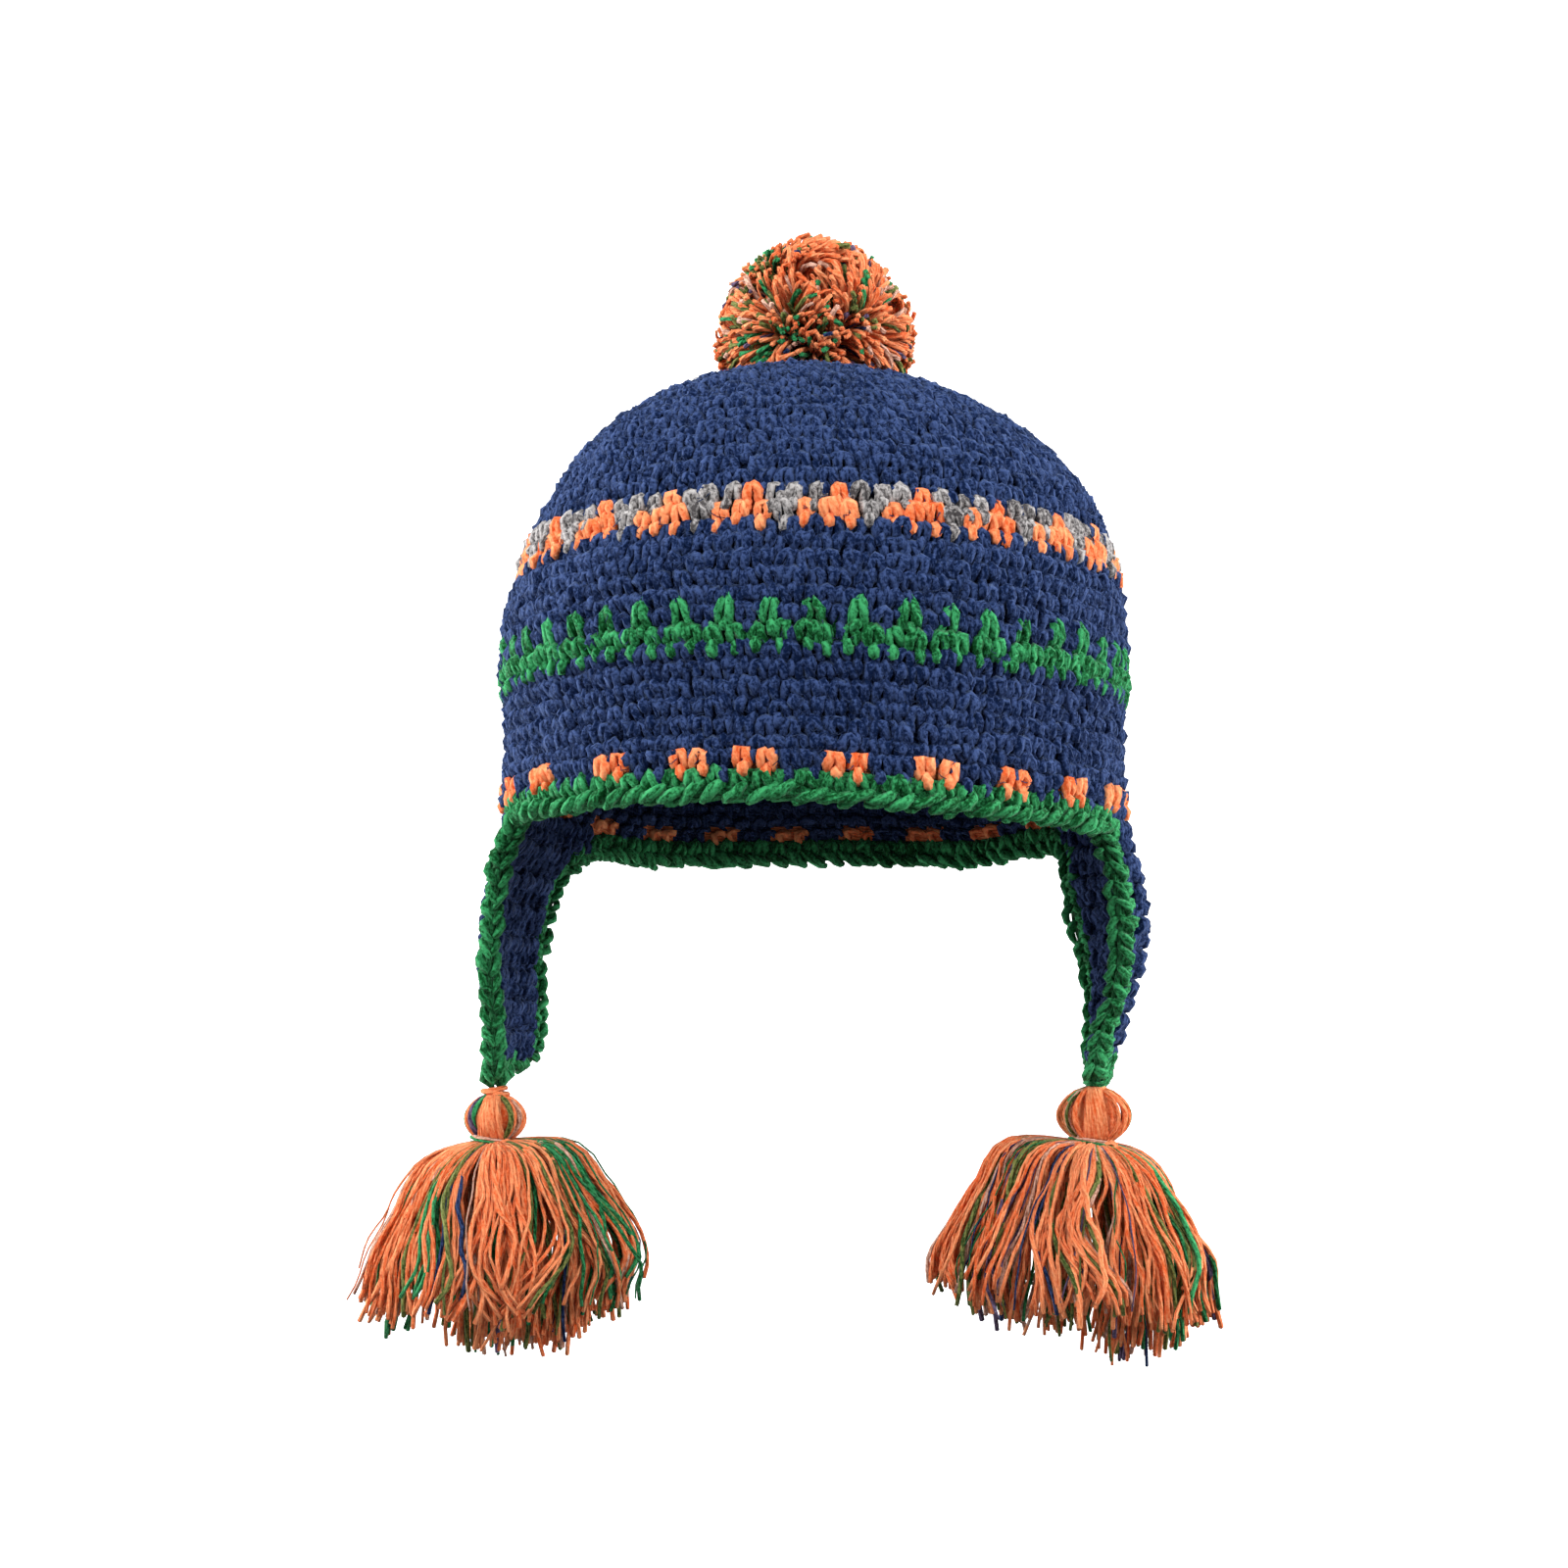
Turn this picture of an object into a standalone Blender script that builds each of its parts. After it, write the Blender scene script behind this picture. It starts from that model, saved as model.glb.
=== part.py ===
# A crocheted earflap hat: crown, two earflaps, a crocheted edging, a pompom and two tied-on tassels.
# Metres, +Z up. The wearer faces -Y, so +X is the wearer's left.
# The origin is where the head sits: on the crown's axis, level with the lower edge of the rim.

import math

import bmesh
import bpy
from mathutils import Vector

MM = 0.001

# The crown is an oval dome with a wall of one thickness
CROWN_HALF_WIDTH = 89.6 * MM
CROWN_HALF_DEPTH = 97.6 * MM
CROWN_HEIGHT = 136.5 * MM
WALL = 5.0 * MM
CROWN_SIDES = 48
CROWN_RINGS = 16
CROWN_PROFILE = (
    # height as a share of the crown's, half-width as a share of the crown's
    (-1.000, 1.000),
    (-0.010, 1.000),
    (0.110, 0.993),
    (0.220, 0.990),
    (0.330, 1.004),
    (0.440, 1.001),
    (0.535, 0.972),
    (0.623, 0.935),
    (0.703, 0.876),
    (0.791, 0.781),
    (0.864, 0.651),
    (0.923, 0.495),
    (0.967, 0.310),
    (1.000, 0.000),
)

# The crocheted edging runs along the rim and round both earflaps
EDGE_WIDTH = 9.0 * MM
EDGE_THICKNESS = 7.0 * MM
SEAM_GAP = 0.3 * MM
EDGE_SECTION = (
    # distance from the free edge as a share of the width, thickness as a share of the edging's
    (0.00, 0.00),
    (0.18, 0.84),
    (0.55, 1.00),
    (1.00, 0.68),
)
FRONT_RIM_STEPS = 22
BACK_RIM_STEPS = 18

# An earflap laid out flat: places are measured along the rim from the ear line
EAR_ANGLE = math.radians(95.0)
FLAP_DROP = 73.0 * MM
FLAP_FRONT = 44.0 * MM
FLAP_REAR = 32.0 * MM
TIP_SWEEP = 10.0 * MM
HEEL_PLACE = 15.0 * MM
HEEL_DEPTH = 0.77
FRONT_CORNER_RADIUS = 6.0 * MM
REAR_CORNER_RADIUS = 24.0 * MM
TIP_SEAM_RADIUS = 1.5 * MM
HEEL_SEAM_RADIUS = 2.0 * MM
CORNER_STEPS = (5, 6, 5, 12)
STRAIGHT_STEPS = (7, 3, 3)

# The earflaps are worked in ribs, and are as thick as the crown between them
RIB_PITCH = 8.6 * MM
RIB_HEIGHT = 1.3 * MM
FLAP_COLUMNS = 10
TOP_ROWS = 5
TOP_ROW_STEP = 1.6 * MM

# How far the earflaps stand outside the crown's wall on the way down.
# The middle column holds at LEAN_MIDDLE behind the ear line, the others LEAN_REACH before and behind it.
LEAN = 7.5 * MM
LEAN_MIDDLE = -5.0 * MM
LEAN_REACH = 35.0 * MM
RIGHT_FLAP_LEAN = (
    # drop as a share of the earflap's, lean of its front, middle and rear as shares of LEAN
    (0.00, 0.00, 0.00, 0.00),
    (0.13, 0.51, 0.51, 0.51),
    (0.30, 0.71, 0.71, 0.71),
    (0.53, 0.81, 0.81, 0.81),
    (0.70, 0.60, 0.60, 0.60),
    (1.00, 0.48, 0.48, 0.48),
)
LEFT_FLAP_LEAN = (
    # drop as a share of the earflap's, lean of its front, middle and rear as shares of LEAN
    (0.00, 0.00, 0.00, 0.00),
    (0.15, 0.27, 0.37, -0.60),
    (0.32, 0.37, 0.59, -0.60),
    (0.48, 0.27, 0.43, -0.27),
    (0.63, 0.00, 0.04, -0.08),
    (0.78, -0.60, -0.29, -0.16),
    (1.00, -1.00, -0.93, -0.67),
)

# The pompom is tied down on the top of the crown, which flattens its lower side
POMPOM_RADIUS = 28.6 * MM
POMPOM_RISE = 10.2 * MM
POMPOM_LOCKS = 70
POMPOM_LOCK_DEPTH = 3.0 * MM

# A tassel hangs by a turn of yarn under each earflap's tip, and its neck is bound with another
TIE_RING_RADIUS = 2.6 * MM
TIE_YARN_RADIUS = 1.3 * MM
HEAD_RADIUS = 9.2 * MM
HEAD_HEIGHT = 10.8 * MM
HEAD_RIBS = 9
HEAD_RIB_DEPTH = 0.10
NECK_RADIUS = 3.6 * MM
BINDING_YARN_RADIUS = 1.1 * MM
SKIRT_RADIUS = 40.3 * MM
SKIRT_LENGTH = 58.5 * MM
SKIRT_LOCKS = 12
SKIRT_LOCK_DEPTH = 0.12
SKIRT_RAGGED = 0.05
TASSEL_SIDES = 36
RING_SIDES = 16
YARN_SIDES = 6
HEAD_PROFILE = (
    # height above the neck as a share of the head's, radius as a share of the head's
    (1.00, 0.30),
    (0.86, 0.70),
    (0.64, 0.96),
    (0.42, 1.00),
    (0.24, 0.84),
)
SKIRT_PROFILE = (
    # depth below the neck as a share of the skirt's length, radius as a share of the skirt's
    (0.04, 0.44),
    (0.13, 0.64),
    (0.30, 0.86),
    (0.48, 0.97),
    (0.66, 1.00),
    (0.78, 0.94),
    (0.88, 0.77),
    (0.97, 0.44),
)

# Colours of the wool
NAVY = (0.030, 0.052, 0.130, 1.0)
GREEN = (0.012, 0.165, 0.055, 1.0)
ORANGE = (0.800, 0.210, 0.090, 1.0)


def clear_scene():
    for old in list(bpy.data.objects):
        bpy.data.objects.remove(old, do_unlink=True)


def wool(name, colour):
    material = bpy.data.materials.new(name)
    material.use_nodes = True
    shader = material.node_tree.nodes["Principled BSDF"]
    shader.inputs["Base Color"].default_value = colour
    shader.inputs["Roughness"].default_value = 0.95
    shader.inputs["Metallic"].default_value = 0.0
    return material


def read_table(rows, at, column=1):
    # Straight-line reading of a table whose first column rises
    if at <= rows[0][0]:
        return rows[0][column]
    for low, high in zip(rows, rows[1:]):
        if at <= high[0]:
            share = (at - low[0]) / (high[0] - low[0])
            return low[column] + share * (high[column] - low[column])
    return rows[-1][column]


def smooth_curve(points, steps):
    # Catmull-Rom curve through the points, with that many steps to each stretch
    curve = []
    last = len(points) - 1
    for i in range(last):
        knots = (points[max(i - 1, 0)], points[i], points[i + 1], points[min(i + 2, last)])
        for step in range(steps):
            t = step / steps
            weights = (
                (-t + 2 * t * t - t ** 3) / 2,
                (2 - 5 * t * t + 3 * t ** 3) / 2,
                (t + 4 * t * t - 3 * t ** 3) / 2,
                (t ** 3 - t * t) / 2,
            )
            curve.append(tuple(sum(w * knot[k] for w, knot in zip(weights, knots)) for k in range(2)))
    curve.append(tuple(points[-1]))
    return curve


WALL_CURVE = smooth_curve(CROWN_PROFILE, 10)


def width_share(height):
    # The outer half-width at a height, as a share of the crown's
    return max(0.0, read_table(WALL_CURVE, height / CROWN_HEIGHT))


def measure_rim():
    # Angle from the front and arc length along the rim, at the middle of the wall
    half_width = CROWN_HALF_WIDTH * width_share(0.0) - WALL / 2
    half_depth = CROWN_HALF_DEPTH * width_share(0.0) - WALL / 2
    steps = 720
    table = [(0.0, 0.0)]
    before = Vector((0.0, -half_depth))
    for step in range(1, steps + 1):
        angle = math.pi * step / steps
        here = Vector((half_width * math.sin(angle), -half_depth * math.cos(angle)))
        table.append((angle, table[-1][1] + (here - before).length))
        before = here
    return table


ANGLE_TO_ARC = measure_rim()
ARC_TO_ANGLE = [(arc, angle) for angle, arc in ANGLE_TO_ARC]
HALF_ROUND = ANGLE_TO_ARC[-1][1]
EAR_ARC = read_table(ANGLE_TO_ARC, EAR_ANGLE)


def lean(arc, height):
    # How far the surface stands outside the plain wall, which only the earflaps do
    table = LEFT_FLAP_LEAN if arc > 0 else RIGHT_FLAP_LEAN
    drop = max(0.0, -height) / FLAP_DROP
    front, middle, rear = (read_table(table, drop, column) for column in (1, 2, 3))
    across = max(-1.0, min(1.0, (abs(arc) - EAR_ARC - LEAN_MIDDLE) / LEAN_REACH))
    return LEAN * (middle + (rear - front) / 2 * across + ((rear + front) / 2 - middle) * across ** 2)


def wall_point(arc, height, out):
    # A point beside the middle of the wall, for an arc length from the front, positive towards +X
    angle = math.copysign(read_table(ARC_TO_ANGLE, abs(arc)), arc)
    share = width_share(height)
    reach = out - WALL / 2 + lean(arc, height)
    return Vector(
        (
            (CROWN_HALF_WIDTH * share + reach) * math.sin(angle),
            -(CROWN_HALF_DEPTH * share + reach) * math.cos(angle),
            height,
        )
    )


def flap_corners():
    # Centre and signed radius of each rounded corner, front to rear: a hollow corner's is negative
    tip_radius = EDGE_WIDTH + TIP_SEAM_RADIUS
    heel_radius = EDGE_WIDTH + HEEL_SEAM_RADIUS
    return (
        (Vector((-FLAP_FRONT - FRONT_CORNER_RADIUS, -FRONT_CORNER_RADIUS)), -FRONT_CORNER_RADIUS),
        (Vector((-FLAP_FRONT + TIP_SWEEP + tip_radius, tip_radius - FLAP_DROP)), tip_radius),
        (Vector((HEEL_PLACE, -HEEL_DEPTH * FLAP_DROP)), heel_radius),
        (Vector((FLAP_REAR + REAR_CORNER_RADIUS, -REAR_CORNER_RADIUS)), -REAR_CORNER_RADIUS),
    )


def flap_headings(corners):
    # Direction of travel before, between and after the corners, along lines that touch both
    headings = [0.0]
    for (start, start_radius), (end, end_radius) in zip(corners, corners[1:]):
        line = end - start
        bend = math.asin((end_radius - start_radius) / line.length)
        headings.append(math.atan2(line.y, line.x) - bend)
    return headings + [0.0]


def between(start, end, count):
    # The points strictly between two ends, evenly spaced
    return [start.lerp(end, i / count) for i in range(1, count)]


def flap_outline(inset):
    # One earflap's outline, front to rear, that far inside its free edge
    corners = flap_corners()
    headings = flap_headings(corners)
    outline = []
    for i, (centre, radius) in enumerate(corners):
        arc = []
        for step in range(CORNER_STEPS[i] + 1):
            heading = headings[i] + (headings[i + 1] - headings[i]) * step / CORNER_STEPS[i]
            arc.append(centre + (radius - inset) * Vector((math.sin(heading), -math.cos(heading))))
        if outline:
            outline += between(outline[-1], arc[0], STRAIGHT_STEPS[i - 1])
        outline += arc
    return outline


def rim_outline(inset):
    # The whole edge as (arc, height): left earflap, back, right earflap, front
    left = [Vector((EAR_ARC + place.x, place.y)) for place in flap_outline(inset)]
    right = [Vector((-place.x, place.y)) for place in reversed(left)]
    round_again = Vector((2 * HALF_ROUND, 0.0))
    back = between(left[-1], right[0] + round_again, BACK_RIM_STEPS)
    front = between(right[-1], left[0], FRONT_RIM_STEPS)
    return left + back + [place + round_again for place in right] + [place + round_again for place in front]


def rim_point(place, out):
    arc = place.x - 2 * HALF_ROUND if place.x > HALF_ROUND else place.x
    return wall_point(arc, place.y, out)


def link_object(name, bm, material):
    bmesh.ops.recalc_face_normals(bm, faces=bm.faces)
    mesh = bpy.data.meshes.new(name)
    bm.to_mesh(mesh)
    bm.free()
    mesh.materials.append(material)
    mesh.shade_smooth()
    mesh.set_sharp_from_angle(angle=math.radians(60))
    piece = bpy.data.objects.new(name, mesh)
    bpy.context.scene.collection.objects.link(piece)


def add_ring(bm, points):
    return [bm.verts.new(point) for point in points]


def bridge(bm, first, second):
    # Joins two rings of as many points each
    for i, j in zip(range(len(first)), [*range(1, len(first)), 0]):
        bm.faces.new((first[i], first[j], second[j], second[i]))


def bridge_all(bm, rings):
    for first, second in zip(rings, rings[1:]):
        bridge(bm, first, second)


def close_ring(bm, ring, point):
    # Closes a ring with a fan of triangles to one point
    centre = bm.verts.new(point)
    for i, j in zip(range(len(ring)), [*range(1, len(ring)), 0]):
        bm.faces.new((ring[j], ring[i], centre))


def oval(centre, half_width, half_depth, sides):
    # Points of a level ring, from the front towards +X
    turns = [2 * math.pi * side / sides for side in range(sides)]
    return [centre + Vector((half_width * math.sin(a), -half_depth * math.cos(a), 0.0)) for a in turns]


def crown_stations():
    # Half-width, height and outward normal at even steps from the seam to just short of the top
    seam = EDGE_WIDTH + SEAM_GAP
    curve = [(width_share(seam) * CROWN_HALF_WIDTH, seam)]
    curve += [
        (width * CROWN_HALF_WIDTH, height * CROWN_HEIGHT)
        for height, width in WALL_CURVE
        if height * CROWN_HEIGHT > seam
    ]
    rows = [(0.0, *curve[0])]
    for point in curve[1:]:
        rows.append((rows[-1][0] + math.dist(rows[-1][1:], point), *point))
    length = rows[-1][0]
    half_step = length / (2 * CROWN_RINGS)
    stations = []
    for ring in range(CROWN_RINGS):
        at = length * ring / CROWN_RINGS
        run = read_table(rows, at + half_step, 1) - read_table(rows, at - half_step, 1)
        rise = read_table(rows, at + half_step, 2) - read_table(rows, at - half_step, 2)
        normal = (1.0, 0.0) if ring == 0 else (rise / math.hypot(run, rise), -run / math.hypot(run, rise))
        stations.append((read_table(rows, at, 1), read_table(rows, at, 2), *normal))
    return stations


def crown_ring(bm, station, depth):
    # A ring of the wall, that deep under its outer surface
    half_width, height, outward, upward = station
    half_depth = half_width * CROWN_HALF_DEPTH / CROWN_HALF_WIDTH
    centre = Vector((0.0, 0.0, height - upward * depth))
    return add_ring(bm, oval(centre, half_width - outward * depth, half_depth - outward * depth, CROWN_SIDES))


def build_crown(material):
    bm = bmesh.new()
    stations = crown_stations()
    outer = [crown_ring(bm, station, 0.0) for station in stations]
    inner = [crown_ring(bm, station, WALL) for station in stations]
    bridge_all(bm, inner[::-1] + outer)
    close_ring(bm, outer[-1], (0.0, 0.0, CROWN_HEIGHT))
    close_ring(bm, inner[-1][::-1], (0.0, 0.0, CROWN_HEIGHT - WALL))
    link_object("crown", bm, material)


def build_edging(material):
    # One band, skinned between its free edge and its seam
    bm = bmesh.new()
    half = EDGE_THICKNESS / 2
    section = [(across, thick * half) for across, thick in EDGE_SECTION]
    section += [(across, -thick * half) for across, thick in EDGE_SECTION[:0:-1]]
    rings = []
    for free, sewn in zip(rim_outline(0.0), rim_outline(EDGE_WIDTH)):
        rings.append(add_ring(bm, [rim_point(free.lerp(sewn, across), out) for across, out in section]))
    bridge_all(bm, rings + rings[:1])
    link_object("edging", bm, material)


def flap_rows(outline):
    # Height, swell of the rib, and front and rear places of each row from the crown to the tip
    lowest = min(range(len(outline)), key=lambda i: outline[i].y)
    front = [(place.y, place.x) for place in outline[lowest::-1]]
    rear = [(place.y, place.x) for place in outline[lowest:]]
    first_rib = EDGE_WIDTH - TOP_ROW_STEP * TOP_ROWS
    bottom = outline[lowest].y + SEAM_GAP
    ribs = round((first_rib - bottom) / RIB_PITCH)
    levels = [(EDGE_WIDTH - TOP_ROW_STEP * row, math.pi * row / TOP_ROWS) for row in range(TOP_ROWS)]
    levels += [
        (first_rib + (bottom - first_rib) * row / (2 * ribs), math.pi * row / 2) for row in range(2 * ribs + 1)
    ]
    rows = []
    for height, turn in levels:
        at = min(height, EDGE_WIDTH - TOP_ROW_STEP)
        rows.append((height, RIB_HEIGHT * abs(math.sin(turn)), read_table(front, at), read_table(rear, at)))
    return rows


def build_flap(name, side, material):
    # Two ribbed faces joined along the earflap's outline
    bm = bmesh.new()
    outer, inner = [], []
    for height, swell, front, rear in flap_rows(flap_outline(EDGE_WIDTH + SEAM_GAP)):
        places = [EAR_ARC + front + (rear - front) * i / FLAP_COLUMNS for i in range(FLAP_COLUMNS + 1)]
        out = WALL / 2 + swell
        outer.append(add_ring(bm, [wall_point(side * place, height, out) for place in places]))
        inner.append(add_ring(bm, [wall_point(side * place, height, -out) for place in places]))
    for face in (outer, inner):
        for high, low in zip(face, face[1:]):
            for i in range(FLAP_COLUMNS):
                bm.faces.new((high[i], high[i + 1], low[i + 1], low[i]))
    bridge(bm, border(outer), border(inner))
    link_object(name, bm, material)


def border(rows):
    # The outermost points of a grid, once round
    right = [row[-1] for row in rows[1:-1]]
    left = [row[0] for row in rows[-2:0:-1]]
    return rows[0] + right + rows[-1][::-1] + left


def crown_top(place):
    # Height of the crown's outer surface above or below a place
    share = math.hypot(place.x / CROWN_HALF_WIDTH, place.y / CROWN_HALF_DEPTH)
    upper = [(width, height) for height, width in reversed(WALL_CURVE) if height > 0.5]
    return read_table(upper, share) * CROWN_HEIGHT


def lock_directions(count):
    # Evenly spread directions along a golden-angle spiral
    golden = math.pi * (3 - math.sqrt(5))
    directions = []
    for i in range(count):
        up = 1 - 2 * (i + 0.5) / count
        across = math.sqrt(1 - up * up)
        directions.append(Vector((across * math.cos(golden * i), across * math.sin(golden * i), up)))
    return directions


def build_pompom(material):
    # Locks of cut yarn round one middle, pressed flat where they meet the crown
    bm = bmesh.new()
    bmesh.ops.create_icosphere(bm, subdivisions=4, radius=1.0)
    middle = Vector((0.0, 0.0, CROWN_HEIGHT + POMPOM_RISE))
    locks = lock_directions(POMPOM_LOCKS)
    half_spacing = math.sqrt(4 / POMPOM_LOCKS)
    for vertex in bm.verts:
        direction = vertex.co.normalized()
        valley = min(1.0, min(direction.angle(lock) for lock in locks) / half_spacing) ** 2
        low, high = 0.0, POMPOM_RADIUS - POMPOM_LOCK_DEPTH * valley
        vertex.co = middle + direction * high
        if vertex.co.z > crown_top(vertex.co) + SEAM_GAP:
            continue
        for _ in range(24):
            reach = (low + high) / 2
            vertex.co = middle + direction * reach
            clear = vertex.co.z > crown_top(vertex.co) + SEAM_GAP
            low, high = (reach, high) if clear else (low, reach)
    link_object("pompom", bm, material)


def tassel_levels(side):
    # Where the tie, the head's top and the neck hang under an earflap's tip
    sweep = -FLAP_FRONT + TIP_SWEEP + EDGE_WIDTH + TIP_SEAM_RADIUS
    tip = wall_point(side * (EAR_ARC + sweep), -FLAP_DROP, 0.0)
    tie = tip - Vector((0.0, 0.0, SEAM_GAP + TIE_YARN_RADIUS))
    head_top = tie - Vector((0.0, 0.0, TIE_YARN_RADIUS + SEAM_GAP))
    return tie, head_top, head_top - Vector((0.0, 0.0, HEAD_HEIGHT))


def lobes(count, depth):
    # Shares of a radius round the tassel, full on each lobe and less by depth between lobes
    turns = [2 * math.pi * side / TASSEL_SIDES for side in range(TASSEL_SIDES)]
    return [1 - depth * (1 - abs(math.cos(count * turn / 2))) for turn in turns]


def lobed_ring(bm, centre, radius, shares, ragged=0.0):
    # A ring whose points stand in by their shares, and are raised where they do
    points = oval(Vector((0.0, 0.0, 0.0)), radius, radius, TASSEL_SIDES)
    lifts = [Vector((0.0, 0.0, ragged * (1 - share))) for share in shares]
    return add_ring(bm, [centre + point * share + lift for point, share, lift in zip(points, shares, lifts)])


def build_tassel(name, side, material):
    # A folded bunch of yarn: a ribbed head, a bound neck and a skirt of locks fused to it
    bm = bmesh.new()
    _, head_top, neck = tassel_levels(side)
    head_shares = lobes(HEAD_RIBS, HEAD_RIB_DEPTH)
    skirt_shares = lobes(SKIRT_LOCKS, SKIRT_LOCK_DEPTH)
    plain = [1.0] * TASSEL_SIDES
    up = Vector((0.0, 0.0, 1.0))
    rings = []
    for height, radius in HEAD_PROFILE:
        rings.append(lobed_ring(bm, neck + up * height * HEAD_HEIGHT, radius * HEAD_RADIUS, head_shares))
    for rise in (BINDING_YARN_RADIUS + SEAM_GAP, -BINDING_YARN_RADIUS - SEAM_GAP):
        rings.append(lobed_ring(bm, neck + up * rise, NECK_RADIUS, plain))
    for depth, radius in SKIRT_PROFILE:
        centre = neck - up * depth * SKIRT_LENGTH
        lift = SKIRT_RAGGED / SKIRT_LOCK_DEPTH * depth * SKIRT_LENGTH
        rings.append(lobed_ring(bm, centre, radius * SKIRT_RADIUS, skirt_shares, lift))
    bridge_all(bm, rings)
    close_ring(bm, rings[0], head_top)
    close_ring(bm, rings[-1], neck - up * SKIRT_LENGTH)
    link_object(name, bm, material)


def build_turn(name, centre, ring_radius, yarn_radius, material):
    # One closed turn of yarn, lying level
    bm = bmesh.new()
    rings = []
    for side in range(RING_SIDES):
        angle = 2 * math.pi * side / RING_SIDES
        outward = Vector((math.sin(angle), -math.cos(angle), 0.0))
        points = []
        for corner in range(YARN_SIDES):
            turn = 2 * math.pi * corner / YARN_SIDES
            lift = Vector((0.0, 0.0, yarn_radius * math.sin(turn)))
            points.append(centre + outward * (ring_radius + yarn_radius * math.cos(turn)) + lift)
        rings.append(add_ring(bm, points))
    bridge_all(bm, rings + rings[:1])
    link_object(name, bm, material)


def main():
    clear_scene()
    navy_wool = wool("navy_wool", NAVY)
    green_wool = wool("green_wool", GREEN)
    mixed_wool = wool("mixed_wool", ORANGE)
    build_crown(navy_wool)
    build_edging(green_wool)
    build_pompom(mixed_wool)
    binding_radius = NECK_RADIUS + SEAM_GAP + BINDING_YARN_RADIUS
    for side, word in ((1, "left"), (-1, "right")):
        tie, _, neck = tassel_levels(side)
        build_flap(f"earflap_{word}", side, navy_wool)
        build_turn(f"tassel_tie_{word}", tie, TIE_RING_RADIUS, TIE_YARN_RADIUS, mixed_wool)
        build_tassel(f"tassel_{word}", side, mixed_wool)
        build_turn(f"tassel_binding_{word}", neck, binding_radius, BINDING_YARN_RADIUS, mixed_wool)


main()
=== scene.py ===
# The looks of a crocheted earflap hat: every stitch and every cut strand is a swept length of yarn.
# Lengths are in millimetres until a mesh is made. The wearer faces -Y, and +X is the wearer's left.

import math

import bpy
import numpy as np
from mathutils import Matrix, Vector


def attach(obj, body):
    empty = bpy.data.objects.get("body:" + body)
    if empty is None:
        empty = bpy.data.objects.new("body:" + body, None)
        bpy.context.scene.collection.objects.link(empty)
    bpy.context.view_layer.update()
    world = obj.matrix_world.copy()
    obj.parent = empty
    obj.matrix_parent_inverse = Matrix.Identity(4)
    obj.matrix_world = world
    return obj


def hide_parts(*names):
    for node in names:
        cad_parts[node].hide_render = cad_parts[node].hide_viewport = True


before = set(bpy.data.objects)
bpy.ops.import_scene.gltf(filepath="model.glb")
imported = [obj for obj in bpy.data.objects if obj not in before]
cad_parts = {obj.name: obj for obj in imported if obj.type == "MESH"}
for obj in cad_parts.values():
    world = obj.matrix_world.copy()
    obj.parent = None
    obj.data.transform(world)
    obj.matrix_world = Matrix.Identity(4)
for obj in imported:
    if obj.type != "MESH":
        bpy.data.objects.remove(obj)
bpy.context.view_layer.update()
mm = 0.001


# Wool: the light and dark ends of each yarn's colour, linear; the shade between them mixes the yarn's own fibre and
# tone variation with painted light and shade along its ply twist

yarns = {
    "navy": dict(dark=(0.0006, 0.0070, 0.036), light=(0.036, 0.064, 0.172), sheen=(0.40, 0.58, 1.0), heather=1.5),
    "green": dict(dark=(0.0005, 0.048, 0.009), light=(0.044, 0.340, 0.122), sheen=(0.5, 1.0, 0.65), heather=0.9),
    "orange": dict(dark=(0.70, 0.098, 0.021), light=(1.0, 0.390, 0.175), sheen=(1.0, 0.7, 0.5), heather=0.5),
    "grey": dict(dark=(0.055, 0.050, 0.051), light=(0.430, 0.410, 0.405), sheen=(1.0, 1.0, 1.0), heather=1.0),
    "moss": dict(dark=(0.026, 0.050, 0.010), light=(0.225, 0.245, 0.070), sheen=(0.8, 0.9, 0.5), heather=0.9),
    "plum": dict(dark=(0.035, 0.024, 0.050), light=(0.170, 0.120, 0.220), sheen=(0.8, 0.7, 1.0), heather=0.8),
    "rose": dict(dark=(0.340, 0.140, 0.085), light=(0.820, 0.500, 0.380), sheen=(1.0, 0.9, 0.85), heather=0.8),
}

yarnNames = list(yarns)
yarnIndex = {name: i for i, name in enumerate(yarnNames)}

finish = dict(
    roughness=0.9,
    specular=0.08,
    sheenWeight=0.13,
    sheenRoughness=0.35,
    plies=3,  # whole number, so that the twist meets itself round the yarn
    twist=0.16,  # turns per millimetre
    # painted light on the ply crests and painted shade in the grooves between plies
    paintedPlyShade=0.24,
    fibreShade=1.5,
    fluffShade=2.7,
    toneShade=0.26,
    reliefStrength=0.9,
    reliefDepth=0.45 * mm,
)


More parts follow.
